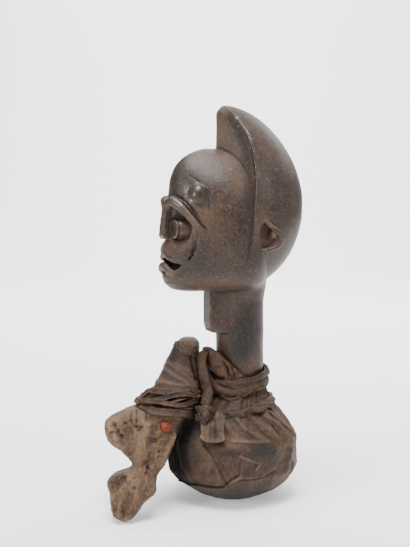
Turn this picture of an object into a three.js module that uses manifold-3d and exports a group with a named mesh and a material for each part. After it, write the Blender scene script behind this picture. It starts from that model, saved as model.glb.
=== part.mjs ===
// Fang reliquary head on a long neck, standing in a bundle of dried hide, with a wrapped bone tied in front.
// Millimetres, +Z up. The face looks along -Y and the figure's left is +X.
// The origin is on the flat underside of the bundle, straight below the middle of the neck.

import * as THREE from 'three';
import { mergeVertices } from 'three/addons/utils/BufferGeometryUtils.js';
import Module from 'manifold-3d';

const wasm = await Module();
wasm.setup();

// Fits
const gap = 0.3;                 // between pieces that touch
const ride = 0.6;                // a strip over a faceted skin

// Wood
const headHeight = 131;          // underside of the jaw to the top of the crest
const neckRadius = 17.3;
const neckFoot = 20;             // lower end of the neck, inside the bundle
const panelReach = 26.6;         // throat panel, from the middle of the neck to its front
const panelFaceWidth = 11;
const panelBaseWidth = 28;
const panelHang = 30;            // below the jaw
const neckShow = 10.5;           // bare neck between the throat panel and the gathered mouth
const eyeDiameter = 13.2;
const eyeLength = 15;

// Hide
const bundleRadius = 47.6;
const bundleHeight = 65;         // ground to the foot of the gathered mouth
const bundleLeft = -2.1;         // middle of the bundle from the middle of the neck
const bundleFront = 4.5;
const bundleSides = 14;
const mouthRise = 25;            // foot of the gathered mouth to its lowest edge
const mouthFrontRise = 20;       // how much higher the mouth stands in front
const mouthBackRise = 5;
const mouthFlare = 5;            // how far its front lip stands off the neck
const mouthFold = 3.5;           // how much thicker the gathered hide is in front
const hideThickness = 1.8;       // round the neck
const wrapThickness = 2.2;

// Leather strips
const stripThickness = 1.7;
const neckStripWidth = 6.4;
const shoulderStripWidth = 8;
const slingWidth = 6.4;
const bindingWidth = 5;
const bindingSpacing = 1.1;      // between the two turns round the bone, where they come closest
const strapSpacing = 0.6;        // between two turns round the mouth, where they come closest
const strapEndWidth = 14.5;
const strapEndLength = 19;
const knotWidth = 12.5;
const knotHeight = 11;

// Bone
const boneLength = 113;          // straight down from its top to its tip
const boneLift = 1;              // tip above the ground
const boneTurn = 65;             // degrees from the front to the way its broad side faces
const boneLean = 33.8;           // degrees from upright, its top towards the neck
const boneReach = 24.9;          // middle of the neck to the middle of the bone, at the bundle's shoulder
const hemRise = 2.7;             // hem of the hide round it, above the bundle's shoulder
const dropDiameter = 6.5;
const dropBelowHem = 7.4;

// Heights above the ground that follow
const mouthHeight = bundleHeight + mouthRise;
const jawLevel = mouthHeight + mouthFrontRise + neckShow + panelHang;

// Small shared helpers

function point(left, front, up) {
  return new THREE.Vector3(left, -front, up);
}

function solid(geometry) {
  const bare = geometry.clone();
  for (const name of Object.keys(bare.attributes)) {
    if (name !== 'position') bare.deleteAttribute(name);
  }
  const merged = mergeVertices(bare, 1e-4);
  return new wasm.Manifold(new wasm.Mesh({
    numProp: 3,
    vertProperties: merged.attributes.position.array,
    triVerts: new Uint32Array(merged.index.array),
  }));
}

function geometryOf(shape) {
  const { vertProperties, triVerts } = shape.getMesh();
  const geometry = new THREE.BufferGeometry();
  geometry.setAttribute('position', new THREE.BufferAttribute(vertProperties, 3));
  geometry.setIndex(new THREE.BufferAttribute(triVerts, 1));
  return geometry;
}

// A closed skin over rings of equally many points, each ring running anticlockwise seen from its far end.
function loft(rings, closed = false) {
  const count = rings[0].length;
  const points = rings.flat();
  const faces = [];
  const spans = closed ? rings.length : rings.length - 1;
  for (let i = 0; i < spans; i += 1) {
    const low = i * count;
    const high = ((i + 1) % rings.length) * count;
    for (let j = 0; j < count; j += 1) {
      const next = (j + 1) % count;
      faces.push(low + j, low + next, high + next, low + j, high + next, high + j);
    }
  }
  if (!closed) {
    const ends = [[rings[0], 0, true], [rings.at(-1), (rings.length - 1) * count, false]];
    for (const [ring, first, turned] of ends) {
      const middle = new THREE.Vector3();
      for (const p of ring) middle.add(p);
      points.push(middle.divideScalar(count));
      for (let j = 0; j < count; j += 1) {
        const pair = [first + j, first + (j + 1) % count];
        if (turned) pair.reverse();
        faces.push(...pair, points.length - 1);
      }
    }
  }
  const geometry = new THREE.BufferGeometry().setFromPoints(points);
  geometry.setIndex(faces);
  return geometry;
}

// A round bar along a smooth curve.
function bar(points, radius, steps, sides = 8) {
  const section = new THREE.Shape().absarc(0, 0, radius, 0, 2 * Math.PI);
  return new THREE.ExtrudeGeometry(section, {
    steps,
    curveSegments: sides / 2,
    extrudePath: new THREE.CatmullRomCurve3(points),
  });
}

// A rounded block: a sphere drawn out to three half sizes.
function blob(middle, halfLeft, halfFront, halfUp, across = 16, down = 10) {
  return new THREE.SphereGeometry(1, across, down)
    .scale(halfLeft, halfFront, halfUp)
    .translate(middle.x, middle.y, middle.z);
}

// Falls from 1 to 0 as share runs from 0 to 1, along a curve between a straight line and a square corner.
function fall(share, power) {
  return (1 - Math.min(Math.abs(share), 1) ** power) ** (1 / power);
}

// A value read off a short list of [share, value] pairs, joined by straight lines.
function along(pairs, share) {
  const last = pairs.length - 1;
  if (share <= pairs[0][0]) return pairs[0][1];
  if (share >= pairs[last][0]) return pairs[last][1];
  const i = pairs.findIndex((pair) => pair[0] > share);
  const [from, low] = pairs[i - 1];
  const [to, high] = pairs[i];
  return low + ((high - low) * (share - from)) / (to - from);
}

function both(make) {
  return make(1).add(make(-1));
}

// The head. Its forms are shares of its own height, and a level is a share above the jaw.
const headCount = 30;

function headPoint(left, front, level) {
  return point(left * headHeight, front * headHeight, jawLevel + level * headHeight);
}

const widest = 0.35;             // level of the widest part of the face
const browLevel = 0.55;          // where the forehead starts to turn back
const faceFront = [[0, 0.33], [0.025, 0.4], [0.06, 0.436], [0.12, 0.447], [0.19, 0.444], [0.26, 0.433],
  [0.34, 0.424], [0.44, 0.42], [browLevel, 0.413]];

const skullMiddle = 0.05;        // how far ahead of the neck the skull is broadest
const skullBack = -0.12;

function skullHalf(level) {
  if (level > widest) return 0.277 * fall((level - widest) / (0.767 - widest), 1.6);
  return 0.277 * (1 - 0.2 * ((widest - level) / widest) ** 3 - 0.35 * ((widest - level) / widest) ** 9);
}

function skullFront(level) {
  if (level < browLevel) return along(faceFront, level);
  return 0.15 + 0.263 * fall((level - browLevel) / (0.77 - browLevel), 2.3);
}

// A place on the skull's skin, by the turn round it from straight ahead, as [side, front].
function skullSkin(turn, level) {
  const ahead = Math.cos(turn);
  const narrow = (0.1 + 0.2 * Math.max(0, 1 - level / widest)) * Math.max(0, ahead);
  const reach = ahead > 0
    ? (skullFront(level) - skullMiddle) * ahead ** 0.85
    : (skullMiddle - skullBack) * ahead;
  return [skullHalf(level) * Math.sin(turn) * (1 - narrow), skullMiddle + reach];
}

function skullRing(level) {
  return Array.from({ length: headCount }, (_, i) => {
    const [side, front] = skullSkin((2 * Math.PI * i) / headCount, level);
    return headPoint(side, front, level);
  });
}

// A point on the front of the face at a distance from the middle, standing proud of the skin.
function onFace(side, level, proud) {
  let low = 0;
  let high = Math.PI / 2;
  for (let i = 0; i < 24; i += 1) {
    const turn = (low + high) / 2;
    if (skullSkin(turn, level)[0] < Math.abs(side)) low = turn;
    else high = turn;
  }
  return headPoint(side, skullSkin(low, level)[1] + proud, level);
}

function skull() {
  const levels = [0, 0.015, 0.05, 0.1, 0.17, 0.25, 0.34, 0.42, 0.5, 0.57, 0.63, 0.68, 0.715, 0.742, 0.763];
  return solid(loft(levels.map(skullRing)));
}

// The crest: a helmet with a sharp keel in front and an arched rim where its sides begin.
const crestWidest = 0.395;
const crestBackLevel = 0.481;
const crestFoot = 0.03;

function crestHalf(level) {
  if (level > crestWidest) return 0.284 * fall((level - crestWidest) / (1 - crestWidest), 1.45);
  return 0.284 * fall((crestWidest - level) / crestWidest, 2);
}

function crestBack(level) {
  const top = 0.1;
  const reach = 0.36;
  if (level > crestBackLevel) {
    return top - (top + reach) * fall((level - crestBackLevel) / (1 - crestBackLevel), 1.8);
  }
  return -reach * fall((crestBackLevel - level) / 0.467, 2);
}

function crestRimFront(level) {
  const lowest = 0.754;
  if (level > lowest) return 0.014 + 0.091 * ((level - lowest) / (1 - lowest)) ** 2;
  return 0.014 + 0.036 * Math.min(1, (lowest - level) / 0.31) ** 2;
}

function crestKeel(level) {
  return 0.148 - 0.043 * Math.max(0, (level - 0.94) / 0.06) ** 2;
}

function crestRing(level) {
  const half = Math.max(crestHalf(level), 0.004);
  const rim = crestRimFront(level);
  const keel = Math.max(crestKeel(level), rim + 0.004);
  const back = Math.min(crestBack(level), rim - 0.006);
  const steps = 9;
  const side = [];
  for (let i = 1; i <= steps; i += 1) {
    const turn = (Math.PI / 2) * (i / steps);
    side.push([half * Math.cos(turn) ** 0.92, rim - (rim - back) * Math.sin(turn)]);
  }
  const frontHalf = [[0, keel], [half * 0.5, keel - (keel - rim) * 0.56], [half, rim]];
  const left = [...frontHalf, ...side.slice(0, -1), [0, back]];
  const right = left.slice(1, -1).reverse().map(([s, f]) => [-s, f]);
  return [...left, ...right].map(([s, f]) => headPoint(s, f, level));
}

function crest() {
  const levels = [];
  const count = 15;
  for (let i = 0; i <= count; i += 1) {
    const swing = Math.sin((Math.PI / 2) * ((2 * i) / count - 1));
    levels.push(crestFoot + (0.998 - crestFoot) * (0.5 + 0.5 * swing));
  }
  return solid(loft(levels.map(crestRing)));
}

// The raised edge of the crest, an arch from above one ear to above the other.
function crestRim() {
  const low = 0.44;
  const count = 9;
  const half = [];
  for (let i = 0; i <= count; i += 1) {
    const level = low + (0.985 - low) * Math.sin((Math.PI / 2) * (i / count));
    half.push([crestHalf(level) - 0.003, crestRimFront(level) + 0.002, level]);
  }
  const left = half.map(([s, f, level]) => headPoint(s, f, level));
  const right = half.map(([s, f, level]) => headPoint(-s, f, level)).reverse();
  return solid(bar([...left, ...right], 0.0125 * headHeight, 34, 6));
}

function nose() {
  const rings = [[0.286, 0.032, 0.445], [0.3, 0.032, 0.452], [0.4, 0.024, 0.45], [0.475, 0.018, 0.44]];
  return solid(loft(rings.map(([level, half, front]) => [
    headPoint(half, 0.36, level),
    headPoint(-half, 0.36, level),
    headPoint(-half, front - 0.012, level),
    headPoint(-half * 0.6, front, level),
    headPoint(half * 0.6, front, level),
    headPoint(half, front - 0.012, level),
  ])));
}

function brow(side) {
  const run = [[0.014, 0.43, 0.024], [0.045, 0.487, 0.018], [0.09, 0.508, 0.01], [0.135, 0.476, 0.006],
    [0.175, 0.42, 0.004], [0.21, 0.352, 0]];
  const points = run.map(([off, level, proud]) => onFace(side * off, level, proud));
  return solid(bar(points, 0.02 * headHeight, 14, 8));
}

// The hollow of the heart-shaped face beside the nose.
function eyeHollow(side) {
  const middle = headPoint(side * 0.112, 0.425, 0.36);
  return solid(blob(middle, 0.095 * headHeight, 0.1 * headHeight, 0.12 * headHeight, 14, 10));
}

function eye(side) {
  const tube = new THREE.CylinderGeometry(eyeDiameter / 2, eyeDiameter / 2, eyeLength, 16);
  const face = headPoint(side * (0.02 + eyeDiameter / 2 / headHeight), 0.414, 0.348);
  return solid(tube.translate(face.x, face.y + eyeLength / 2, face.z));
}

// A lip: a bar that hugs the face from corner to corner, by half its run as [side, level, proud].
function lip(run, thickness) {
  const left = run.map(([side, level, proud]) => onFace(side, level, proud));
  const right = run.slice(1).reverse().map(([side, level, proud]) => onFace(-side, level, proud));
  return solid(bar([...right, ...left], thickness * headHeight, 20, 8));
}

const upperLip = [[0, 0.222, 0.005], [0.06, 0.2, 0.004], [0.108, 0.176, 0.004], [0.15, 0.185, 0],
  [0.175, 0.2, -0.014]];
const lowerLip = [[0, 0.142, 0.004], [0.06, 0.13, 0.002], [0.108, 0.128, 0.002], [0.145, 0.15, 0],
  [0.172, 0.19, -0.014]];

function mouthHollow() {
  const middle = headPoint(0, 0.43, 0.168);
  return solid(blob(middle, 0.13 * headHeight, 0.1 * headHeight, 0.036 * headHeight, 16, 8));
}

// An ear: a C-shaped fold with its open side forward, on a groove cut down the side of the head.
function ear(side) {
  const middle = { front: -0.052, level: 0.3 };
  const radius = 0.04;
  const points = [];
  for (let i = 0; i <= 7; i += 1) {
    const turn = THREE.MathUtils.degToRad(125 - (250 * i) / 7);
    const front = middle.front - radius * Math.cos(turn);
    const level = middle.level + radius * Math.sin(turn);
    points.push(headPoint(side * 0.284, front, level));
  }
  points.unshift(headPoint(side * 0.285, 0.04, 0.437));
  return solid(bar(points, 0.015 * headHeight, 14, 6));
}

function throatPanel() {
  const top = jawLevel + 0.03 * headHeight;
  const foot = jawLevel - panelHang;
  const soften = 0.12 * panelHang;
  const levels = [[foot, 0.72], [foot + soften, 0.95], [foot + 2.4 * soften, 1], [top, 1]];
  return solid(loft(levels.map(([up, share]) => {
    const front = neckRadius + (panelReach - neckRadius) * share;
    const rear = neckRadius * 0.4;
    return [
      point(-panelBaseWidth / 2, rear, up),
      point(-panelFaceWidth / 2, front, up),
      point(panelFaceWidth / 2, front, up),
      point(panelBaseWidth / 2, rear, up),
    ];
  })));
}

function neck(grow = 0) {
  const top = jawLevel + 0.09 * headHeight;
  const flareFrom = jawLevel - 0.06 * headHeight;
  const outline = [
    [0, neckFoot - grow],
    [neckRadius + grow, neckFoot - grow],
    [neckRadius + grow, flareFrom],
    [neckRadius + grow + 1.8, jawLevel + 0.045 * headHeight],
    [neckRadius + grow + 1.8, top],
    [0, top],
  ];
  const lathe = new THREE.LatheGeometry(outline.map(([r, y]) => new THREE.Vector2(r, y)), 28);
  return solid(lathe.rotateX(Math.PI / 2));
}

function carvedHead() {
  return skull()
    .subtract(both(eyeHollow))
    .add(crest())
    .add(crestRim())
    .add(nose())
    .add(both(brow))
    .add(both(eye))
    .subtract(mouthHollow())
    .add(lip(upperLip, 0.022))
    .add(lip(lowerLip, 0.02))
    .add(both(ear))
    .add(throatPanel())
    .add(neck());
}

// The bundle. Its skin is straight between these levels, in shares of its height and radius.
const bundleForm = [[0, 0.42], [0.07, 0.65], [0.2, 0.885], [0.33, 1], [0.67, 1], [0.8, 0.89], [0.9, 0.785],
  [1, 0.64]];
const bundleCount = 2 * bundleSides;
const collarRadius = neckRadius + gap + hideThickness;
const collarBase = bundleHeight + 0.52 * mouthRise;

function mouthTop(turn) {
  const ahead = Math.cos(turn);
  return mouthHeight + mouthFrontRise * Math.max(0, ahead) ** 2 + mouthBackRise * Math.max(0, -ahead) ** 2;
}

function lipFlare(turn, up) {
  const rise = Math.max(0, (up - mouthHeight) / mouthFrontRise);
  return mouthFlare * rise * Math.max(0, Math.cos(turn));
}

// Distance from the middle to the side of a polygon with bundleSides sides, for a corner distance of 1.
function facet(turn) {
  const wedge = Math.PI / bundleSides;
  const off = ((turn % (2 * wedge)) + 2 * wedge) % (2 * wedge);
  return Math.cos(wedge) / Math.cos(off - wedge);
}

// The bundle's middle and radius at a height, above and below the shoulder.
function bundleSection(turn, up) {
  if (up <= bundleHeight) {
    const radius = bundleRadius * along(bundleForm, up / bundleHeight) * facet(turn);
    return { radius, centred: 1 };
  }
  const share = Math.min(1, (up - bundleHeight) / (collarBase - bundleHeight));
  const shoulder = bundleRadius * bundleForm.at(-1)[1] * facet(turn);
  const collar = collarRadius + mouthFold * Math.max(0, Math.cos(turn)) + lipFlare(turn, up);
  const radius = shoulder + (collar - shoulder) * share;
  return { radius, centred: 1 - share };
}

function bundlePoint(turn, up, grow = 0) {
  const { radius, centred } = bundleSection(turn, up);
  const left = bundleLeft * centred + (radius + grow) * Math.sin(turn);
  const front = bundleFront * centred + (radius + grow) * Math.cos(turn);
  return point(left, front, up);
}

function bundleRing(heightAt, grow) {
  return Array.from({ length: bundleCount }, (_, i) => {
    const turn = (2 * Math.PI * i) / bundleCount;
    return bundlePoint(turn, heightAt(turn), grow);
  });
}

function bundleBody(grow = 0) {
  const rings = bundleForm.map(([share]) => bundleRing(() => share * bundleHeight, grow));
  rings.push(bundleRing(() => collarBase, grow));
  rings.push(bundleRing(() => mouthHeight - 1, grow));
  rings.push(bundleRing((turn) => mouthTop(turn) + grow, grow));
  return solid(loft(rings));
}

function mouthBore() {
  const ring = (up) => Array.from({ length: 28 }, (_, i) => {
    const turn = (2 * Math.PI * i) / 28;
    const radius = neckRadius + gap + lipFlare(turn, up);
    return point(radius * Math.sin(turn), radius * Math.cos(turn), up);
  });
  const above = mouthHeight + mouthFrontRise + 10;
  return solid(loft([neckFoot - gap, mouthHeight, mouthHeight + mouthFrontRise, above].map(ring)));
}

function hideBundle() {
  return bundleBody().subtract(mouthBore());
}

// A flat strip lying on the bundle all the way round, lower in front, and sagging at the figure's left.
function neckLoop({ middle, tilt, sag, width }, grow = 0) {
  const near = ride - grow;
  const far = ride + stripThickness + grow;
  const half = width / 2 + grow;
  const rings = [];
  for (let i = 0; i < bundleCount; i += 1) {
    const turn = (2 * Math.PI * i) / bundleCount;
    const up = middle - tilt * Math.cos(turn) - sag * Math.max(0, Math.sin(turn)) ** 2;
    rings.push([
      bundlePoint(turn, up - half, near),
      bundlePoint(turn, up + half, near),
      bundlePoint(turn, up + half, far),
      bundlePoint(turn, up - half, far),
    ]);
  }
  return solid(loft(rings, true));
}

const shoulderTurn = { middle: bundleHeight + 2.6, tilt: 4.2, sag: 0, width: shoulderStripWidth };
const middleTurn = { tilt: 1.2, sag: 2.2, width: neckStripWidth };
const upperTurn = { tilt: 1.4, sag: 0, width: neckStripWidth };

// The middle turn comes closest to the shoulder one behind, and the upper turn to the middle one in front.
middleTurn.middle = shoulderTurn.middle + shoulderTurn.tilt - middleTurn.tilt
  + (shoulderStripWidth + neckStripWidth) / 2 + strapSpacing;
upperTurn.middle = middleTurn.middle - middleTurn.tilt + upperTurn.tilt + neckStripWidth + strapSpacing;

// A flat strip through a few points, its broad side facing outward, given as [point, outward, width].
function strip(stations, thickness) {
  const middles = stations.map(([p]) => p);
  return solid(loft(stations.map(([p, outward, width], i) => {
    const before = middles[Math.max(i - 1, 0)];
    const after = middles[Math.min(i + 1, middles.length - 1)];
    const run = after.clone().sub(before).normalize();
    const out = outward.clone().addScaledVector(run, -outward.dot(run)).normalize();
    const across = run.clone().cross(out);
    const corner = (side, depth) => p.clone()
      .addScaledVector(across, (side * width) / 2)
      .addScaledVector(out, depth * thickness);
    return [corner(-1, 0), corner(-1, 1), corner(1, 1), corner(1, 0)];
  })));
}

// The bone, in its own directions: along its broad side, and out of it.
const broad = THREE.MathUtils.degToRad(boneTurn);
const boneAcross = point(Math.cos(broad), -Math.sin(broad), 0);
const boneOut = point(Math.sin(broad), Math.cos(broad), 0);

function bonePlace(across, out, up) {
  return boneAcross.clone().multiplyScalar(across).addScaledVector(boneOut, out).setZ(up);
}

// Its sections in shares of its length: level, front edge and rear edge before the neck, and thickness.
const boneForm = [
  [0.0, -0.745, -0.66, 0.07],
  [0.045, -0.78, -0.623, 0.13],
  [0.1, -0.79, -0.58, 0.17],
  [0.15, -0.797, -0.522, 0.19],
  [0.2, -0.811, -0.52, 0.19],
  [0.24, -0.78, -0.512, 0.18],
  [0.265, -0.695, -0.49, 0.17],
  [0.3, -0.668, -0.463, 0.17],
  [0.36, -0.737, -0.43, 0.19],
  [0.41, -0.818, -0.405, 0.21],
  [0.46, -0.845, -0.385, 0.23],
  [0.525, -0.84, -0.36, 0.24],
  [0.58, -0.74, -0.325, 0.24],
  [0.62, -0.635, -0.3, 0.23],
  [0.72, -0.53, -0.283, 0.22],
  [0.83, -0.465, -0.275, 0.2],
  [0.93, -0.4, -0.272, 0.17],
  [0.975, -0.375, -0.285, 0.11],
  [1.0, -0.35, -0.31, 0.05],
];

// Its wrapped rear edge lies against the shoulder strap, at the section whose rear share is boneSeat.
const boneSeat = -0.31;
const shoulderRadius = bundleRadius * bundleForm.at(-1)[1];
const seatAcross = -(shoulderRadius + ride + stripThickness + wrapThickness);
const leanRun = Math.tan(THREE.MathUtils.degToRad(boneLean));

function boneSection(level, grow) {
  const column = (k) => boneForm.map((row) => [row[0], row[k]]);
  const front = seatAcross + (along(column(1), level) - boneSeat) * boneLength - grow;
  const rear = seatAcross + (along(column(2), level) - boneSeat) * boneLength + grow;
  const thick = along(column(3), level) * boneLength + 2 * grow;
  const out = boneReach + (bundleHeight - boneLift - level * boneLength) * leanRun;
  return { front, rear, thick, out };
}

function boneSkin(turn, level, grow) {
  const { front, rear, thick, out } = boneSection(level, grow);
  const squash = (v) => Math.sign(v) * Math.abs(v) ** 0.85;
  const across = (front + rear) / 2 + ((rear - front) / 2) * squash(Math.cos(turn));
  const outward = out + (thick / 2) * squash(Math.sin(turn));
  return bonePlace(across, outward, boneLift + level * boneLength);
}

function boneRing(level, grow, count = 20) {
  return Array.from({ length: count }, (_, i) => boneSkin((-2 * Math.PI * i) / count, level, grow));
}

function boneShape(grow = 0) {
  return solid(loft(boneForm.map(([level]) => boneRing(level, grow))));
}

// The sleeve of hide follows the bone from its slanting hem to its open top.
const hemLevel = (bundleHeight + hemRise - boneLift) / boneLength;
const hemSlant = 0.03;
const sleeveTop = 0.92;
const topSlant = 0.035;
const sleeveSteps = 6;
const sleeveCount = 20;

function sleeveRing(share, grow) {
  return Array.from({ length: sleeveCount }, (_, i) => {
    const turn = (-2 * Math.PI * i) / sleeveCount;
    const hem = hemLevel - hemSlant * Math.cos(turn);
    const top = sleeveTop - topSlant * Math.cos(turn);
    return boneSkin(turn, hem + (top - hem) * share, grow);
  });
}

function sleeveOuter(grow = 0) {
  const shares = Array.from({ length: sleeveSteps + 1 }, (_, i) => i / sleeveSteps);
  return solid(loft(shares.map((share) => sleeveRing(share, gap + wrapThickness + grow))));
}

function relicWrap() {
  return sleeveOuter().subtract(boneShape(gap));
}

const lowBinding = { rise: bindingWidth / 2 + 0.9, tilt: 0.3 };
const highBinding = { tilt: 4.6 };
highBinding.rise = lowBinding.rise - lowBinding.tilt + highBinding.tilt + bindingWidth + bindingSpacing;

// A turn of strip round the sleeve, by its rise above the hem.
function relicBinding({ rise, tilt }, grow = 0) {
  const near = gap + wrapThickness + 2 * ride - grow;
  const far = near + stripThickness + 2 * grow;
  const half = (bindingWidth / 2 + grow) / boneLength;
  const rings = [];
  for (let i = 0; i < sleeveCount; i += 1) {
    const turn = (-2 * Math.PI * i) / sleeveCount;
    const hem = hemLevel - hemSlant * Math.cos(turn);
    const level = hem + (rise + tilt * Math.cos(turn)) / boneLength;
    rings.push([
      boneSkin(turn, level - half, near),
      boneSkin(turn, level + half, near),
      boneSkin(turn, level + half, far),
      boneSkin(turn, level - half, far),
    ]);
  }
  return solid(loft(rings, true));
}

// The knot, the sling and the loose end lie over the bundle, each at a turn round it and a lift off its skin.
const knotPlace = {
  turn: boneTurn - 30,
  up: bundleHeight + 1,
  lift: knotWidth / 2 + ride + stripThickness + 1,
};

function overBundle({ turn, up, lift }) {
  return bundlePoint(THREE.MathUtils.degToRad(turn), up, lift);
}

function slingStrap() {
  const outward = bonePlace(-0.3, 1, 0);
  const stations = [
    [{ turn: boneTurn - 61, up: mouthHeight + 0.85 * mouthFrontRise, lift: 2 }, 0.8 * slingWidth],
    [{ turn: boneTurn - 59, up: mouthHeight + 0.5 * mouthFrontRise, lift: 7.5 }, slingWidth],
    [{ turn: boneTurn - 51, up: mouthHeight - 0.12 * mouthRise, lift: 12.7 }, slingWidth],
    [{ turn: boneTurn - 44, up: mouthHeight - 0.56 * mouthRise, lift: 11.8 }, slingWidth],
  ];
  return strip(stations.map(([where, width]) => [overBundle(where), outward, width]), stripThickness);
}

function knot(grow = 0) {
  const middle = overBundle(knotPlace);
  return solid(blob(middle, knotWidth / 2 + grow, knotWidth / 2 + grow, knotHeight / 2 + grow, 12, 8));
}

function strapEnd() {
  const outward = bonePlace(-0.15, 1, 0);
  const top = knotPlace.up + 2;
  const stations = [
    [{ turn: boneTurn - 21, up: top, lift: 7.2 }, 0.9],
    [{ turn: boneTurn - 19, up: top - 0.37 * strapEndLength, lift: 6 }, 1],
    [{ turn: boneTurn - 18, up: top - 0.74 * strapEndLength, lift: 3.7 }, 1],
    [{ turn: boneTurn - 17.5, up: top - strapEndLength, lift: 2.5 }, 0.85],
  ];
  const run = stations.map(([where, share]) => [overBundle(where), outward, share * strapEndWidth]);
  return strip(run, stripThickness);
}

function redDrop() {
  const level = hemLevel - dropBelowHem / boneLength;
  const { out, thick } = boneSection(level, 0);
  const across = seatAcross + (-0.455 - boneSeat) * boneLength;
  const place = bonePlace(across, out + thick / 2 - 2 * gap, boneLift + level * boneLength);
  return solid(blob(place, dropDiameter / 2, dropDiameter / 2, dropDiameter / 2, 12, 8));
}

// What is tied in front of the bundle is pressed back by it and by its shoulder strap.
function pressed(shape) {
  return shape.subtract(bundleBody(gap)).subtract(neckLoop(shoulderTurn, gap));
}

// Put together in the order in which it was tied
const headSolid = carvedHead();
const bundleSolid = hideBundle();
const upperLoop = neckLoop(upperTurn);
const middleLoop = neckLoop(middleTurn);
const shoulderLoop = neckLoop(shoulderTurn);
const boneSolid = boneShape();
const wrapSolid = relicWrap();
const bindingLow = pressed(relicBinding(lowBinding));
const bindingHigh = relicBinding(highBinding).subtract(neckLoop(upperTurn, gap));
const slingSolid = slingStrap().subtract(sleeveOuter(gap)).subtract(bindingHigh).subtract(knot(gap));
const knotSolid = pressed(knot()).subtract(relicBinding(lowBinding, gap));
const endSolid = pressed(strapEnd()).subtract(knot(gap));
const dropSolid = redDrop().subtract(boneShape(gap));

const wood = { color: 0x3a2a22, roughness: 0.42, metalness: 0 };
const hide = { color: 0x54402f, roughness: 0.62, metalness: 0 };
const strap = { color: 0x5d4836, roughness: 0.66, metalness: 0 };
const bone = { color: 0x6e4c35, roughness: 0.7, metalness: 0 };
const resin = { color: 0xa03c1e, roughness: 0.25, metalness: 0 };

const figure = new THREE.Group();

function place(name, shape, look) {
  const mesh = new THREE.Mesh(geometryOf(shape), new THREE.MeshStandardMaterial(look));
  mesh.name = name;
  figure.add(mesh);
}

place('carved_head', headSolid, wood);
place('hide_bundle', bundleSolid, hide);
place('neck_strap_upper', upperLoop, strap);
place('neck_strap_middle', middleLoop, strap);
place('shoulder_strap', shoulderLoop, strap);
place('bone_relic', boneSolid, bone);
place('relic_wrap', wrapSolid, hide);
place('relic_binding_upper', bindingHigh, strap);
place('relic_binding_lower', bindingLow, strap);
place('sling_strap', slingSolid, strap);
place('knot', knotSolid, strap);
place('strap_end', endSolid, hide);
place('red_drop', dropSolid, resin);

export default figure;
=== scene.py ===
import math

import bpy
import numpy as np
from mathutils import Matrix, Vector


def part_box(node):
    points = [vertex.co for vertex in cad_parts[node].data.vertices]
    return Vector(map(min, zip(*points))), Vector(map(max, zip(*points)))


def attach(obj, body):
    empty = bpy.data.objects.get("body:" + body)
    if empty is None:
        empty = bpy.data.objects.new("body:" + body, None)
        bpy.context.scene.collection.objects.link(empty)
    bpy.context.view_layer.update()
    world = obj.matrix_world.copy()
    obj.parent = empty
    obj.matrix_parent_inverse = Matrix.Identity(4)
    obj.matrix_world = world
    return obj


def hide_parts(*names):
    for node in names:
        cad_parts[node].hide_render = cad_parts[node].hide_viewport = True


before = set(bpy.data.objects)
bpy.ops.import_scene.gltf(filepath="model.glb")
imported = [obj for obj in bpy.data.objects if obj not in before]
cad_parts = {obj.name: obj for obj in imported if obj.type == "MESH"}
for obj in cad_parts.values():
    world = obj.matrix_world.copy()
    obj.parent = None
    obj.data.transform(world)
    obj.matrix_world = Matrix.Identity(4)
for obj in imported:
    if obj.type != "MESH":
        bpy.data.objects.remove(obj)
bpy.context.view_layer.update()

# The camera and the light
# The object stands on a pale table under broad soft light, seen from its left side and a little above.
# Lengths here are millimetres, made metres where they reach Blender.
mm = 0.001
view_turn = math.radians(65)
view_distance = 700
view_height = 235
view_tilt = math.radians(6)
view_shift_left = 25.2
toward = Vector((math.sin(view_turn), -math.cos(view_turn), 0))
rightward = Vector((math.cos(view_turn), math.sin(view_turn), 0))

camera = bpy.data.objects.new("camera", bpy.data.cameras.new("camera"))
bpy.context.collection.objects.link(camera)
camera.location = (toward * view_distance - rightward * view_shift_left + Vector((0, 0, view_height))) * mm
camera.rotation_euler = (math.radians(90) - view_tilt, 0, view_turn)
camera.data.lens = 64
camera.data.sensor_fit = "VERTICAL"
camera.data.sensor_height = 36
camera.data.clip_start = 0.05
bpy.context.scene.camera = camera


def lamp(name, across, out, up, size, power, target):
    """A square soft light, placed as the camera sees it and aimed at the target."""
    light = bpy.data.objects.new(name, bpy.data.lights.new(name, "AREA"))
    bpy.context.collection.objects.link(light)
    light.location = (rightward * across + toward * out + Vector((0, 0, up))) * mm
    aim = target * mm - light.location
    light.rotation_euler = aim.to_track_quat("-Z", "Y").to_euler()
    light.data.size = size * mm
    light.data.energy = power
    return light


object_middle = Vector((0, 0, 140))
backdrop = Vector((0, 0, 250)) - toward * 2200
lamp("lamp_over", -60, 240, 1250, 600, 30, object_middle)
lamp("lamp_left", -950, 800, 600, 320, 10, object_middle)
lamp("lamp_right", 1100, 500, 600, 700, 3, object_middle)
lamp("lamp_rim", 750, -700, 900, 600, 9, object_middle)
lamp("lamp_backdrop", 0, -900, 1500, 900, 84, backdrop)

world = bpy.data.worlds.new("studio")
world.use_nodes = True
world.node_tree.nodes["Background"].inputs["Color"].default_value = (0.97, 0.98, 1.0, 1)
world.node_tree.nodes["Background"].inputs["Strength"].default_value = 0.42
bpy.context.scene.world = world


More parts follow.
